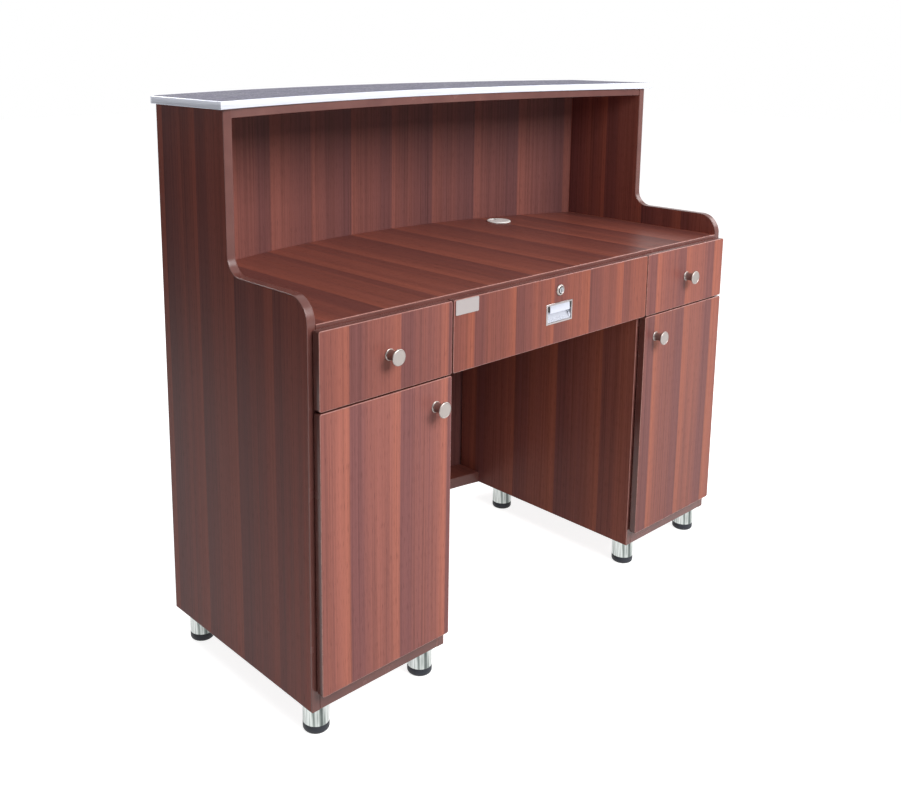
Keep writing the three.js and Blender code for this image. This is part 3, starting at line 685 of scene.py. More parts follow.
plasticLook = {"scale": 90.0, "grain": 1800.0, "low": linear(240, 240, 237), "high": linear(252, 252, 250),
               "rough": (0.3, 0.45), "relief": (0.08, 0.0001)}


def plasticFinish():
    # white with faint smudges and a fine moulded grain
    finish, tree, shader = newFinish("grommetPlastic")
    where, _ = objectAxes(tree)
    marks = useGroup(tree, handled, Place=where, Scale=plasticLook["scale"])
    white = blendColour(tree, marks["Smudge"], plasticLook["low"], plasticLook["high"])
    coat(tree, shader, white, noiseTo(tree, marks["Smudge"], *plasticLook["rough"]))
    relief(tree, shader, noise(tree, where, plasticLook["grain"], 1.0), *plasticLook["relief"])
    return finish


# painted shade: the curved wall takes a darker copy of the laminate, for the shade under the counter
shadedWallWood = laminateFinish("laminateCurvedWallShaded", "X", "Z", shift=0.070, mirrored=True, leaf=0.125,
                          light=linear(140, 86, 77), dark=linear(110, 71, 70), pore=linear(70, 42, 42))
# painted light and shade: each front is a lighter or darker copy of the laminate for how the lamps fall on
# it, the left door lighter and the left and centre drawers and the right door darker; each has its own leaf
# shift, and the centre drawer is also a little more orange
frontTonesAndPaintedLight = {
    "leftDrawer": {"shift": 0.082, "light": linear(164, 98, 83), "dark": linear(124, 78, 75)},
    "leftDoor": {"shift": 0.082, "light": linear(179, 110, 94), "dark": linear(135, 87, 85)},
    "centreDrawer": {"shift": 0.015, "light": linear(160, 91, 72), "dark": linear(121, 72, 67)},
    "rightDrawer": {"shift": 0.107, "mirrored": True},
    "rightDoor": {"shift": 0.107, "mirrored": True, "light": linear(167, 100, 82),
                  "dark": linear(126, 79, 76)},
}
frontWood = {name: laminateFinish(name + "Laminate", "X", "Z", **tone) for name, tone in frontTonesAndPaintedLight.items()}
sideLeaf = {"across": "Y", "along": "Z", "shift": 0.0488, "mirrored": True, "leaf": 0.1145}
# painted shade: the left side panel takes a darker copy of the laminate than the right, for the shade on that
# side
sideWood = {
    "left": laminateFinish("laminateLeftSideShaded", **sideLeaf, sheen=0.11, light=linear(148, 78, 65),
                           dark=linear(110, 61, 58), pore=linear(70, 38, 36)),
    "right": laminateFinish("laminateRightSide", **sideLeaf, sheen=0.07, light=linear(172, 100, 83),
                            dark=linear(128, 77, 74)),
}
dividerWood = laminateFinish("laminateDividers", "Y", "Z", shift=0.0743, mirrored=True, leaf=0.130)
# painted shade: the worktop takes a darker copy of the laminate, for the less light that falls on it; the
# cupboard floors, kneehole board and counter support take it too
shadedTopWood = laminateFinish("laminateWorktopShaded", "X", "Y", shift=0.0692, mirrored=True, leaf=0.1286,
                         light=linear(146, 82, 68), dark=linear(112, 64, 58), pore=linear(70, 38, 36))
edgeWood = edgeBandFinish()
arrisHighlightWood = arrisHighlightFinish()
boxBoard = laminateFinish("drawerBoard", "Y", "X", leaf=0.07, light=linear(220, 198, 173),
                          dark=linear(204, 178, 150), pore=linear(168, 138, 110))
stone = stoneFinish()
trimMetal = trimFinish()
chrome = metalFinish("brightChrome", linear(168, 160, 160), rough=(0.12, 0.20), scale=30.0, scratch=0.08)
satinChrome = metalFinish("satinChrome", linear(208, 211, 223), rough=(0.24, 0.34), scale=16.0, scratch=0.06)
tubeChrome = tubeFinish()
nickel = metalFinish("satinNickel", linear(168, 160, 156), rough=(0.30, 0.42), scale=40.0, scratch=0.08)
steel = metalFinish("hardwareSteel", linear(176, 178, 182), rough=(0.22, 0.36), scale=80.0, scratch=0.15)
plateMetal = metalFinish("plateMetal", linear(176, 168, 167), rough=(0.40, 0.52), scale=140.0, scratch=0.1)
# painted shade: dark metal on the walls and floor of the keyway for the shade inside it; the side of the plug
# and the pull's end blocks take it too
darkSlot = metalFinish("keywayDark", linear(60, 58, 56), rough=(0.4, 0.5), scale=200.0, scratch=0.0)
rubber = rubberFinish()
plastic = plasticFinish()
print("finishes made:", len(bpy.data.materials))

# curves and levels that the carcass and the counter share
bothSides = {"left": -1, "right": 1}
rearEdge = front + carcass["depth"]
counterLevel = base + carcass["height"]
wallHalf = carcass["innerHalf"] - carcass["glue"]
wallOuter = bow(carcass["innerHalf"], rearEdge, carcass["wallBow"])
wallInner = bowInside(wallOuter, carcass["board"])
wallFace = bowInside(wallInner, carcass["glue"])

# side panels
sidePanel = {"tallDepth": 0.228, "lip": 0.734, "nose": 0.044, "step": 0.035, "curveSteps": 20,
             "arris": 0.0016}
tallFront = rearEdge - sidePanel["tallDepth"]


def sideOutline():
    # front foot, rear foot, rear top, then the S down to the lip and the quarter round of the nose
    nose, step, steps = (sidePanel[k] for k in ("nose", "step", "curveSteps"))
    lip = base + sidePanel["lip"]
    return np.concatenate([
        [[front, base], [rearEdge, base], [rearEdge, counterLevel], [tallFront, counterLevel]],
        arc((tallFront - step, lip + step), step, 0, -90, steps),
        arc((front + nose, lip - nose), nose, 90, 180, steps)])


for side, sign in bothSides.items():
    x0, x1 = sorted((sign * carcass["innerHalf"], sign * carcass["outerHalf"]))
    panel = makeBoard(side + "Panel", sideOutline(), x0, x1, "YZX", [sideWood[side], edgeWood],
                      arris=sidePanel["arris"])
    standsFor(panel, "carcass", "wood_laminate", side + "_side_panel")

# boards between the panels
boards = {
    "kneeHalf": 0.293,
    "dividerHalf": 0.311,
    "worktop": 0.689,         # top of the worktop above the underside of the panels
    "worktopArris": 0.0014,
    "worktopSplit": 0.12,     # where the worktop's faces are split between cam slot and grommet
    "kneeBoardHeight": 0.028,
    "kneeBoardDepth": 0.068,
    "bowSteps": 96,
    "floorSteps": 24,
    "kneeBoardSteps": 48,
}


def boardToWall(x0, x1, steps):
    # straight front edge, rear edge along the curved wall
    return np.concatenate([[[x0, front], [x1, front]], bowLine(wallFace, x1, x0, steps)])


for side, sign in bothSides.items():
    x0, x1 = sorted((sign * boards["kneeHalf"], sign * boards["dividerHalf"]))
    top = base + boards["worktop"] - carcass["board"] - carcass["glue"]
    rear = float(bowY(wallFace, boards["dividerHalf"]))
    divider = makeBoard(side + "Divider", rectangle(front, rear, base, top), x0, x1, "YZX",
                        [dividerWood, edgeWood, arrisHighlightWood])
    standsFor(divider, "carcass", "wood_laminate", side + "_divider")
    low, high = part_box(side + "_base_panel")
    plinth = makeBoard(side + "CupboardFloor", boardToWall(low.x, high.x, boards["floorSteps"]), low.z,
                       high.z, "XYZ", [shadedTopWood, edgeWood])
    standsFor(plinth, "carcass", "wood_laminate", side + "_base_panel")

wall = makeBoard("curvedWall", bowedOutline(wallInner, wallOuter, wallHalf, boards["bowSteps"]), base,
                 counterLevel, "XYZ", [edgeWood, shadedWallWood])
standsFor(wall, "carcass", "wood_laminate", "curved_front_panel")

kneeEdge = bowInside(wallInner, boards["kneeBoardDepth"])
kneeOutline = bowedOutline(kneeEdge, wallFace, boards["kneeHalf"] - carcass["glue"], boards["kneeBoardSteps"])
kneeBoard = makeBoard("kneeholeBoard", kneeOutline, base, base + boards["kneeBoardHeight"], "XYZ",
                      [shadedTopWood, edgeWood])
standsFor(kneeBoard, "carcass", "wood_laminate", "kneehole_base_board")

grommet = {"x": 0.340, "y": 0.18472, "hole": 0.0252, "sides": 64}
camSlot = {"x": (-0.0075, 0.027), "y": (-0.26135, -0.25335), "depth": 0.010}  # takes the lock's cam
low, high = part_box("worktop")
splitY = boards["worktopSplit"]
topOutline = np.concatenate([[[low.x, splitY], [low.x, front], [high.x, front], [high.x, splitY]],
                             bowLine(wallFace, high.x, low.x, boards["bowSteps"])])
worktop = makeBoard("worktopBoard", topOutline, low.z, high.z, "XYZ", [shadedTopWood, edgeWood, arrisHighlightWood],
                    arris=boards["worktopArris"], cut=(0, 3),
                    lowHoles=[(slotRing(*camSlot["x"], *camSlot["y"]), camSlot["depth"])],
                    through=[circleRing((grommet["x"], grommet["y"]), grommet["hole"], grommet["sides"])])
standsFor(worktop, "carcass", "wood_laminate", "worktop")
print("carcass boards made")

# counter: support board, stone slab and rounded metal trim
counter = {
    "thickness": 0.014,
    "trim": 0.005,
    "trimRound": 0.0009,
    "trimSteps": 6,
    "slabArris": 0.0008,
    "sideOverhang": 0.012,
    "staffOverhang": 0.012,
    "customerOverhang": 0.008,
    "staffBow": 0.100,
    "corner": 0.018,
    "cornerSteps": 14,
    "supportThickness": 0.016,
    "supportSetback": 0.002,
    "supportBow": 0.088,
}
slabLevel = counterLevel + carcass["glue"]
slabHalf = carcass["outerHalf"] + counter["sideOverhang"] - counter["trim"]
staffEdge = bow(slabHalf, tallFront - counter["staffOverhang"] + counter["trim"], counter["staffBow"])
customerEdge = bow(slabHalf, rearEdge + counter["customerOverhang"] - counter["trim"], carcass["wallBow"])
supportEdge = bow(carcass["innerHalf"], tallFront + counter["supportSetback"], counter["supportBow"])


def roundCorner(before, corner, after, radius, steps):
    # circle touching both edges: its centre lies on the bisector at radius over the sine of half the angle
    a, b = (p - corner for p in (before, after))
    a, b = a / np.linalg.norm(a), b / np.linalg.norm(b)
    half = math.acos(float(a @ b)) / 2
    centre = corner + (a + b) / np.linalg.norm(a + b) * radius / math.sin(half)
    start = corner + a * radius / math.tan(half) - centre
    first = math.degrees(math.atan2(start[1], start[0]))
    return arc(centre, radius, first, first + 180 - 2 * math.degrees(half), steps)


def slabOutline():
    # staff bow, rounded customer corner, customer bow back, and the mirror image of the corner
    end = slabHalf - 2 * counter["corner"]
    staff = bowLine(staffEdge, -slabHalf, slabHalf, boards["bowSteps"])
    customer = bowLine(customerEdge, end, -end, boards["bowSteps"])
    corner = np.array([slabHalf, float(bowY(customerEdge, slabHalf))])
    right = roundCorner(staff[-1], corner, customer[0], counter["corner"], counter["cornerSteps"])
    left = (right * [-1, 1])[::-1]
    return np.concatenate([staff, right, customer, left])


support = makeBoard("counterSupport", bowedOutline(supportEdge, wallFace, wallHalf, boards["bowSteps"]),
                    counterLevel - counter["supportThickness"], counterLevel, "XYZ", [shadedTopWood, edgeWood])
standsFor(support, "carcass", "wood_laminate", "counter_support_board")
slab = makeBoard("counterSlab", slabOutline(), slabLevel, slabLevel + counter["thickness"], "XYZ",
                 [stone, stone], arris=counter["slabArris"])
standsFor(slab, "carcass", "counter_stone", "counter_slab")


def trimSection():
    # flat against the slab and flat outside, with two quarter rounds between
    w, h, r, steps = (counter[k] for k in ("trim", "thickness", "trimRound", "trimSteps"))
    outside = np.concatenate([arc((w - r, r), r, -90, 0, steps), arc((w - r, h - r), r, 0, 90, steps)])
    return np.concatenate([[[carcass["glue"], 0.0]], outside, [[carcass["glue"], h]]])


trim = makeRail("counterTrim", slabOutline(), trimSection(), trimMetal, level=slabLevel)
standsFor(trim, "carcass", "edge_trim", "counter_edge_trim")
print("counter made")

# drawer fronts and doors
fronts = {
    "arris": 0.0013,
    "corner": 0.004,
    "cornerSteps": 5,
    "cup": 0.0202,            # hinge cup in the back of a door
    "cupDepth": 0.0127,
    "cupSides": 48,
    "pullLevel": 0.6665,
    "pocketHalf": 0.0374,     # pocket that takes the flush pull
    "pocketRise": 0.0184,
    "pocketDepth": 0.0124,
    "lockLevel": 0.712,
    "lockHole": 0.0097,
}


def frontOutline(low, high, lineX):
    # rounded rectangle in (z, x), with a point on each end of the line that carries the holes
    a, b, c, d = roundedCorners(low.z, high.z, low.x, high.x, fronts["corner"], fronts["cornerSteps"])
    return np.concatenate([[[low.z, lineX]], a, b, [[high.z, lineX]], c, d])


frontCut = (0, 1 + 2 * (fronts["cornerSteps"] + 1))

for side in bothSides:
    low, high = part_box(side + "_drawer_front")
    drawerFront = makeBoard(side + "DrawerFront", frontOutline(low, high, (low.x + high.x) / 2), low.y,
                            high.y, "ZXY", [frontWood[side + "Drawer"], edgeWood, arrisHighlightWood],
                            arris=fronts["arris"])
    standsFor(drawerFront, side + "_drawer", "wood_laminate", side + "_drawer_front")
    low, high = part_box(side + "_door")
    cups = [middle(f"{side}_door_{place}_hinge_cup") for place in ("lower", "upper")]
    lineX = cups[0][0]
    cupHoles = [(circleRing((z, lineX), fronts["cup"], fronts["cupSides"]), fronts["cupDepth"])
                for _, _, z in cups]
    door = makeBoard(side + "Door", frontOutline(low, high, lineX), low.y, high.y, "ZXY",
                     [frontWood[side + "Door"], edgeWood, arrisHighlightWood], arris=fronts["arris"], cut=frontCut,
                     highHoles=cupHoles)
    standsFor(door, side + "_cupboard_door", "wood_laminate", side + "_door")

low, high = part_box("centre_drawer_front")
pocket = slotRing(fronts["pullLevel"] - fronts["pocketRise"], fronts["pullLevel"] + fronts["pocketRise"],
                  -fronts["pocketHalf"], fronts["pocketHalf"])
lockHole = circleRing((fronts["lockLevel"], 0.0), fronts["lockHole"], fronts["cupSides"])
centreFront = makeBoard("centreDrawerFront", frontOutline(low, high, 0.0), low.y, high.y, "ZXY",
                        [frontWood["centreDrawer"], edgeWood, arrisHighlightWood], arris=fronts["arris"], cut=frontCut,
                        lowHoles=[(pocket, fronts["pocketDepth"])], through=[lockHole])
standsFor(centreFront, "centre_drawer", "wood_laminate", "centre_drawer_front")
faceY = low.y
print("drawer fronts and doors made")


def pieceName(node):
    # the solid's words run together, with a capital on each but the first
    first, *others = node.split("_")
    return first + "".join(word.title() for word in others)


# knobs
knob = {
    "head": 0.0150,
    "neck": 0.0084,
    "skirt": 0.0104,
    "skirtFoot": 0.0012,
    "skirtRise": 0.0070,
    "waist": 0.0120,          # where the neck begins to widen into the head
    "length": 0.0252,
    "rim": 0.0020,
    "dish": 0.0007,
    "steps": 6,
    "sides": 56,
}


def knobProfile():
    # flared skirt, waisted neck, hollow underside, rounded rim and a face dished a little inside the rim
    k = knob
    t = np.linspace(0, np.pi / 2, k["steps"] + 1)
    core, flare, top = k["head"] - k["rim"], k["skirt"] - k["neck"], k["length"] - 2 * k["rim"]
    skirt = np.stack([k["skirt"] - flare * np.sin(t), k["skirtFoot"] + k["skirtRise"] * (1 - np.cos(t))], 1)
    under = np.stack([k["neck"] + (core - k["neck"]) * (1 - np.cos(t)),
                      k["waist"] + (top - k["waist"]) * np.sin(t)], 1)
    rim = np.stack([core + k["rim"] * np.sin(2 * t), top + k["rim"] * (1 - np.cos(2 * t))], 1)[1:]
    sink = k["dish"] * np.sqrt(np.sin(2 * np.minimum(t, np.pi / 4)))
    face = np.stack([core * np.cos(t), k["length"] - sink], 1)[1:]
    face[-1, 0] = 0
    return np.concatenate([[[0, 0], [k["skirt"], 0]], skirt, under, rim, face])


for node, body in (("left_drawer_knob", "left_drawer"), ("right_drawer_knob", "right_drawer"),
                   ("left_door_knob", "left_cupboard_door"), ("right_door_knob", "right_cupboard_door")):
    x, _, z = middle(node)
    low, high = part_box(node)
    made = makeTurned(pieceName(node), knobProfile(), (x, high.y, z), nickel, sides=knob["sides"],
                      facing="staff")
    standsFor(made, body, "satin_nickel", node)

# legs and rubber feet
leg = {"radius": 0.024, "low": 0.0160, "high": 0.0578, "wall": 0.0015, "lip": 0.0006, "crown": 0.0008,
       "lid": 0.003, "lipBand": 0.002, "steps": 4}
foot = {"edge": 0.0055, "edgeSteps": 7, "groove": 0.0005, "grooveTop": 0.0006, "grooveFloor": 0.0014,
        "grooveFoot": 0.0022, "shoulder": 0.0003, "spigot": 0.0017, "spigotTop": 0.0250}


def legProfile():
    # inside of the lid and wall, quarter round of radius lip at the foot, and of radius crown at the top
    r, low, high, lip, crown = (leg[k] for k in ("radius", "low", "high", "lip", "crown"))
    t = np.linspace(0, np.pi / 2, leg["steps"] + 1)
    inside, under = r - leg["wall"], high - leg["lid"]
    lower = np.stack([r - lip * (1 - np.sin(t)), low + lip * (1 - np.cos(t))], 1)
    upper = np.stack([r - crown * (1 - np.cos(t)), high - crown + crown * np.sin(t)], 1)
    return np.concatenate([[[0, under], [inside, under], [inside, low]], lower,
                           [[r, low + leg["lipBand"]], [r, under]], upper, [[0, high]]])


def footProfile():
    # flat tread, quarter-round edge, a shallow groove below the tube and a spigot inside it
    r, e = leg["radius"], foot["edge"]
    top = leg["low"] - carcass["glue"]
    t = np.linspace(0, np.pi / 2, foot["edgeSteps"] + 1)
    tread = np.stack([r - e + e * np.sin(t), e - e * np.cos(t)], 1)
    groove = [[r, top - foot["grooveFoot"]], [r - foot["groove"], top - foot["grooveFloor"]],
              [r - foot["groove"], top - foot["grooveTop"]], [r - foot["shoulder"], top]]
    spigot = [[r - foot["spigot"], top], [r - foot["spigot"], foot["spigotTop"]], [0, foot["spigotTop"]]]
    return np.concatenate([[[0, 0]], tread, groove, spigot])


for side in bothSides:
    for place in ("front_outer", "front_inner", "rear_outer", "rear_inner"):
        legNode, footNode = f"{side}_{place}_leg", f"{side}_{place}_foot"
        x, y, _ = middle(legNode)
        tubePiece = makeTurned(pieceName(legNode), legProfile(), (x, y, 0.0), tubeChrome)
        standsFor(tubePiece, "carcass", "bright_chrome", legNode)
        footPiece = makeTurned(pieceName(footNode), footProfile(), (x, y, 0.0), rubber)
        standsFor(footPiece, "carcass", "black_rubber", footNode)
print("knobs and legs made")

# flush pull in the centre drawer front
pull = {
    "halfWidth": 0.040,
    "halfHeight": 0.021,
    "rim": 0.0035,
    "flange": 0.0013,
    "proud": 0.0002,          # sheet metal stands off the drawer's face
    "frameLap": 0.0008,       # frame over the mouth, and half of that at its bevel
    "frameBevel": 0.0004,
    "frameSteps": 4,
    "depth": 0.0100,
    "wall": 0.0012,
    "trayLap": 0.0006,        # tray behind the frame
    "trayTop": 0.05,          # share of the height in which the scoop closes at the top
    "trayEnd": 0.07,          # share of the half width in which it closes at each end
    "trayGrid": (61, 41),
    "hoodHalf": 0.0300,
    "hoodReach": 0.0017,
    "hoodDrop": 0.0160,
    "hoodSheet": 0.0010,
    "hoodLap": 0.0004,
    "hoodCurve": 0.7,
    "hoodGrid": (25, 9),
    "endLap": 0.0003,
    "endTuck": 0.0006,        # end block under the hood
    "endRise": 0.0002,
    "endHeight": 0.0125,
    "endProud": 0.0011,
    "endDepth": 0.004,
    "endArris": 0.0004,
}
mouthHalf, mouthRise = pull["halfWidth"] - pull["rim"], pull["halfHeight"] - pull["rim"]
mouthTop = fronts["pullLevel"] + pull["halfHeight"] - pull["rim"]


def pullFrame():
    # a flat bar with rounded edges carried round the mouth
    level = fronts["pullLevel"]
    outline = rectangle(level - mouthRise, level + mouthRise, -mouthHalf, mouthHalf)
    t = np.linspace(0, np.pi / 2, pull["frameSteps"] + 1)
    r = pull["flange"] - pull["proud"]
    outside = np.stack([pull["rim"] - r + r * np.sin(t), -r * np.cos(t)], 1)
    lap, bevel = pull["frameLap"], pull["frameBevel"]
    section = np.concatenate([[[-lap, -bevel], [-bevel, -r]], outside, [[-lap, 0]]])
    return makeRail("pullFrame", outline, section, chrome, axes="ZXY", level=faceY)


def pullTray():
    # scoop: flush at the bottom and deepest at the top as a quarter sine, with steep ends
    s, t = np.meshgrid(*(np.linspace(-1, 1, n) for n in pull["trayGrid"]), indexing="ij")
    x, z = s * (mouthHalf + pull["trayLap"]), fronts["pullLevel"] + t * (mouthRise + pull["trayLap"])
    slope = np.sin((t + 1) * np.pi / 4) * np.clip((1 - t) / pull["trayTop"], 0, 1)
    hollow = pull["depth"] * np.clip((1 - np.abs(s)) / pull["trayEnd"], 0, 1) ** 0.5 * slope
    scoop = np.stack([x, faceY - pull["proud"] + hollow, z], -1)
    back = np.stack([x, np.full_like(s, faceY + pull["depth"] + pull["wall"]), z], -1)
    return makeShell("pullTray", scoop, back, satinChrome)


def pullHood():
    # quarter ellipse from the upper rim outwards and down, and its inner face one sheet further in
    rows, columns = pull["hoodGrid"]
    a, x = np.meshgrid(np.linspace(0, np.pi / 2, rows), np.linspace(-1, 1, columns), indexing="ij")
    topZ = mouthTop + pull["hoodLap"]

    def skin(reach, drop, sink):
        return np.stack([x * pull["hoodHalf"], faceY - pull["proud"] - reach * np.sin(a) ** pull["hoodCurve"],
                         topZ - sink - drop * (1 - np.cos(a))], -1)
    reach, drop, sheet = pull["hoodReach"], pull["hoodDrop"], pull["hoodSheet"]
    return makeShell("pullHood", skin(reach, drop, 0), skin(reach - sheet, drop - sheet, sheet), satinChrome)


def pullEnd(name, sign):
    # dark moulded block between the end of the hood and the frame
    x0, x1 = sorted((sign * (mouthHalf + pull["endLap"]), sign * (pull["hoodHalf"] - pull["endTuck"])))
    top = mouthTop + pull["endRise"]
    return makeBoard(name, rectangle(top - pull["endHeight"], top, x0, x1), faceY - pull["endProud"],
                     faceY + pull["endDepth"], "ZXY", [darkSlot, darkSlot], arris=pull["endArris"])


pullPieces = [pullFrame(), pullTray(), pullHood(), pullEnd("pullLeftEnd", -1), pullEnd("pullRightEnd", 1)]
for made in pullPieces:
    standsFor(made, "centre_drawer", "bright_chrome")
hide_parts("centre_drawer_flush_pull")

# lock: rosette with its barrel, plug with a keyway, and the square tail that carries the cam
lock = {
    "rosette": 0.0114,
    "thick": 0.0040,
    "dome": [(0.0, 0.25), (0.0004, 0.5), (0.0013, 0.76), (0.0026, 0.94)],  # in from the rim, share of thick
    "mouth": [(0.0012, 1.0), (0.0005, 0.86), (0.0, 0.7)],                  # out from the bore, likewise
    "rosetteSides": 56,
    "bore": 0.0068,
    "barrel": 0.0095,
    "barrelEdge": 0.0005,
    "back": 0.0310,
    "plug": 0.0065,
    "plugProud": 0.0006,
    "plugArris": 0.0005,
    "plugSides": 48,
    "keyHalf": 0.0009,
    "keyRise": 0.0040,
    "keyDepth": 0.004,
    "tailHalf": 0.0028,
    "tailEnd": 0.0355,
    "tailLap": 0.001,
    "tailArris": 0.0003,
}
lockLevel, lockBack = fronts["lockLevel"], faceY + lock["back"]


def rosetteProfile():
    # up the barrel, out to the rim, over the dome and down into the mouth of the bore
    bore, barrel, edge, back = (lock[k] for k in ("bore", "barrel", "barrelEdge", "back"))
    rim, thick = lock["rosette"], lock["thick"]
    return [[bore, -back], [barrel - edge, -back], [barrel, -back + edge], [barrel, 0.0], [rim, 0.0],
            *([rim - inset, thick * share] for inset, share in lock["dome"]),
            *([bore + outset, thick * share] for outset, share in lock["mouth"])]


rosette = makeTurned("lockRosette", rosetteProfile(), (0, faceY, lockLevel), nickel,
                     sides=lock["rosetteSides"], facing="staff")
standsFor(rosette, "centre_drawer", "bright_chrome", "lock_housing")
keyway = slotRing(lockLevel - lock["keyRise"], lockLevel + lock["keyRise"], -lock["keyHalf"], lock["keyHalf"])
# painted shade: the keyway's walls and floor and the plug's side take the dark metal
plugPiece = makeBoard("lockPlug", circleRing((lockLevel, 0.0), lock["plug"], lock["plugSides"]),
                      faceY - lock["thick"] - lock["plugProud"], lockBack, "ZXY", [steel, darkSlot],
                      arris=lock["plugArris"], cut=(0, lock["plugSides"] // 2),
                      lowHoles=[(keyway, lock["keyDepth"])])
standsFor(plugPiece, "lock_core", "hardware_steel", "lock_plug")
half = lock["tailHalf"]
tailPiece = makeBoard("lockTail", rectangle(lockLevel - half, lockLevel + half, -half, half),
                      lockBack - lock["tailLap"], faceY + lock["tailEnd"], "ZXY", [steel, steel],
                      arris=lock["tailArris"])
standsFor(tailPiece, "lock_core", "hardware_steel")

# bare plate at the left end of the centre drawer front
plate = {"x": (-0.2920, -0.2325), "z": (0.7110, 0.7390), "thick": 0.0011, "corner": 0.0025, "cornerSteps": 6,
         "arris": 0.0003}
plateOutline = np.concatenate(roundedCorners(*plate["z"], *plate["x"], plate["corner"], plate["cornerSteps"]))
platePiece = makeBoard("barePlate", plateOutline, faceY - plate["thick"], faceY, "ZXY",
                       [plateMetal, plateMetal], arris=plate["arris"])
standsFor(platePiece, "centre_drawer", "edge_trim")
print("pull, lock and plate made")

# cable grommet: liner with a flange, and a cap that turns in it
cap = {
    "level": 0.747,
    "bore": 0.0225,
    "sleeve": 0.025,
    "sleeveDepth": 0.018,
    "outer": 0.030,
    "flangeEdge": [(0.0, 0.0012), (0.0006, 0.0022)],  # (in from the outer edge, height)
    "flangeTop": 0.0016,
    "proud": 0.003,
    "seat": 0.0265,
    "seatEdge": 0.0004,
    "seatDepth": 0.002,
    "linerSides": 72,
    "clearance": 0.0002,
    "thick": 0.0018,
    "arris": 0.0004,
    "rimSteps": 80,
    "notchHalf": 0.008,
    "notchFloor": 0.012,
    "notchSteps": 16,
}


def linerProfile():
    # up the sleeve, out under the flange, over its rounded edge and down into the cap's seat
    bore, sleeve, outer, seat, proud = (cap[k] for k in ("bore", "sleeve", "outer", "seat", "proud"))
    floor = proud - cap["seatDepth"]
    return [[bore, -cap["sleeveDepth"]], [sleeve, -cap["sleeveDepth"]], [sleeve, carcass["glue"]],
            [outer, carcass["glue"]], *([outer - inset, height] for inset, height in cap["flangeEdge"]),
            [outer - cap["flangeTop"], proud], [seat + cap["seatEdge"], proud],
            [seat, proud - cap["seatEdge"]], [seat, floor], [bore, floor]]


def capOutline():
    # circle with a gap of arcsine(half notch over radius) each side, closed by a half round notch
    radius, half = cap["seat"] - cap["clearance"], cap["notchHalf"]
    gap = math.degrees(math.asin(half / radius))
    rim = arc((0, 0), radius, 90 + gap, 450 - gap, cap["rimSteps"])
    notch = arc((0, cap["notchFloor"] + half), half, 0, -180, cap["notchSteps"])
    return np.concatenate([rim, notch]) + [grommet["x"], grommet["y"]]


liner = makeTurned("grommetLiner", linerProfile(), (grommet["x"], grommet["y"], cap["level"]), plastic,
                   sides=cap["linerSides"])
standsFor(liner, "carcass", "white_plastic", "grommet_liner")
capTop = cap["level"] + cap["proud"]
capPiece = makeBoard("grommetCap", capOutline(), capTop - cap["thick"], capTop, "XYZ", [plastic, plastic],
                     arris=cap["arris"])
standsFor(capPiece, "cable_cap", "white_plastic", "grommet_cap")

# solids that keep their own shape take a finish
keptFinishes = {"drawer_box": boxBoard, "rail": steel, "hinge_cup": steel, "hinge_arm": steel,
                "lock_cam": steel}
for name, piece in nodes.items():
    for ending, finish in keptFinishes.items():
        if name.endswith(ending):
            for materialSlot in piece.material_slots:
                materialSlot.material = finish
print("small fittings made")

# floor, light and camera
studio = {"floorHalf": 14.0, "floorColour": 0.56, "floorSeen": 0.60, "floorGlow": 0.88, "floorRough": 0.9,
          "sky": 0.13}


def grey(level):
    return (level, level, level, 1.0)


def seenRays(tree):
    # one for rays that show the background itself: from the camera, mirrored or passed through
    rays = tree.nodes.new("ShaderNodeLightPath")
    through = sums(tree, "MAXIMUM", rays.outputs["Is Glossy Ray"], rays.outputs["Is Transmission Ray"])
    return sums(tree, "MAXIMUM", rays.outputs["Is Camera Ray"], through)


def floorFinish():
    # white where it is seen, plain grey for the light that it throws on the desk
    finish, tree, shader = newFinish("studioFloor")
    shader.inputs["Roughness"].default_value = studio["floorRough"]
    seen = seenRays(tree)
    plug(tree, shader.inputs["Base Color"],
         blendColour(tree, seen, grey(studio["floorColour"]), grey(studio["floorSeen"])))
    shader.inputs["Emission Color"].default_value = grey(1.0)
    plug(tree, shader.inputs["Emission Strength"], sums(tree, "MULTIPLY", seen, studio["floorGlow"]))
    return finish


floorCorners = np.column_stack([rectangle(-1, 1, -1, 1) * studio["floorHalf"], np.zeros(4)])
floorPiece = putMesh("studioFloorPlane", floorCorners, [[0, 1, 2, 3]], [floorFinish()])

# dark flag beside the desk: only reflections see it, so the shaded end keeps its depth
flag = {"x": -1.6, "y": (-0.9, 4.6), "z": (0.08, 1.0), "grey": 0.02, "rough": 1.0}
flagFinish, _, flagShader = newFinish("studioFlag")
flagShader.inputs["Base Color"].default_value = grey(flag["grey"])
flagShader.inputs["Roughness"].default_value = flag["rough"]
flagCorners = np.column_stack([np.full(4, flag["x"]), rectangle(*flag["y"], *flag["z"])])
flagPiece = putMesh("studioFlagPlane", flagCorners, [[0, 1, 2, 3]], [flagFinish])
for ray in ("camera", "diffuse", "shadow", "transmission"):
    setattr(flagPiece, "visible_" + ray, False)

world = bpy.data.worlds.new("studioSky")
bpy.context.scene.world = world
world.use_nodes = True
skyTree = world.node_tree
skyTree.nodes.clear()
skyOut = skyTree.nodes.new("ShaderNodeOutputWorld")
sky = skyTree.nodes.new("ShaderNodeBackground")
skyTree.links.new(sky.outputs[0], skyOut.inputs[0])
sky.inputs[0].default_value = grey(1.0)
plug(skyTree, sky.inputs[1], spread(skyTree, seenRays(skyTree), 0.0, 1.0, studio["sky"], 1.0))


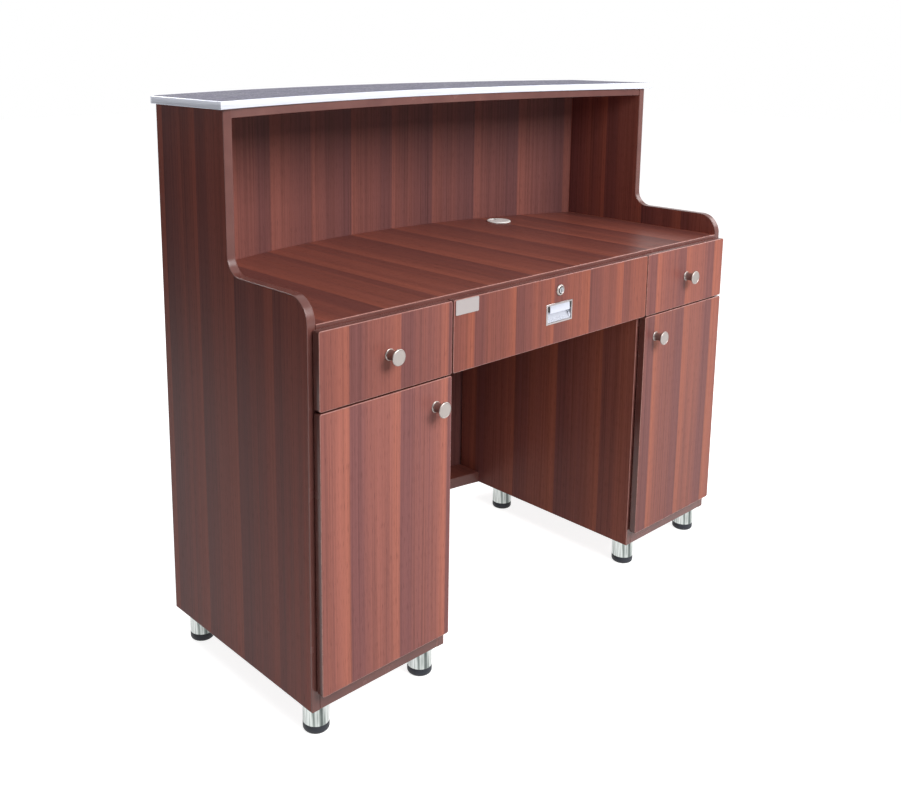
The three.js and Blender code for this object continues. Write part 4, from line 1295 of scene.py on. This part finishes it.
def standAt(name, data, right, up, back, place):
    # the matrix has the three axes and the place as its columns
    holder = bpy.data.objects.new(name, data)
    bpy.context.scene.collection.objects.link(holder)
    columns = np.column_stack([right, up, back, place])
    holder.matrix_world = Matrix(np.vstack([columns, [0, 0, 0, 1]]).tolist())
    return holder


lamps = {
    "frontLamp": {"place": (0.4, -3.2, 2.9), "aim": (0.1, 0.0, 0.55), "size": (2.6, 2.0), "power": 158.0},
    "rightLamp": {"place": (3.6, -1.2, 2.4), "aim": (0.0, 0.0, 0.6), "size": (1.8, 1.8), "power": 40.0},
    "rearLamp": {"place": (-0.55, 3.2, 3.6), "aim": (0.0, 0.0, 0.6), "size": (2.4, 1.8), "power": 110.0},
}
for name, lamp in lamps.items():
    light = bpy.data.lights.new(name, "AREA")
    light.shape, light.energy = "RECTANGLE", lamp["power"]
    light.size, light.size_y = lamp["size"]
    away = np.subtract(lamp["place"], lamp["aim"])
    away /= np.linalg.norm(away)
    across = np.cross((0, 0, 1), away)
    across /= np.linalg.norm(across)
    standAt(name, light, across, np.cross(away, across), away, lamp["place"])

eye = {"place": (-1.5610, -1.5393, 1.1950), "heading": 41.729, "down": 10.900, "roll": 0.130, "lens": 41.052,
       "sensor": 36.0, "shift": (0.0660, -0.1715), "clip": (0.01, 100.0)}


def placeCamera():
    # forward from heading and tilt, then the right and up axes turned by the roll
    h, d, r = (math.radians(eye[k]) for k in ("heading", "down", "roll"))
    ahead = np.array([math.sin(h) * math.cos(d), math.cos(h) * math.cos(d), -math.sin(d)])
    right = np.array([math.cos(h), -math.sin(h), 0.0])
    up = np.cross(right, ahead)
    right, up = math.cos(r) * right + math.sin(r) * up, math.cos(r) * up - math.sin(r) * right
    camera = bpy.data.cameras.new("photoCamera")
    camera.lens, camera.sensor_width = eye["lens"], eye["sensor"]
    camera.shift_x, camera.shift_y = eye["shift"]
    camera.clip_start, camera.clip_end = eye["clip"]
    bpy.context.scene.camera = standAt("photoCamera", camera, right, up, -ahead, eye["place"])


placeCamera()
bpy.context.scene.view_settings.view_transform = "Standard"
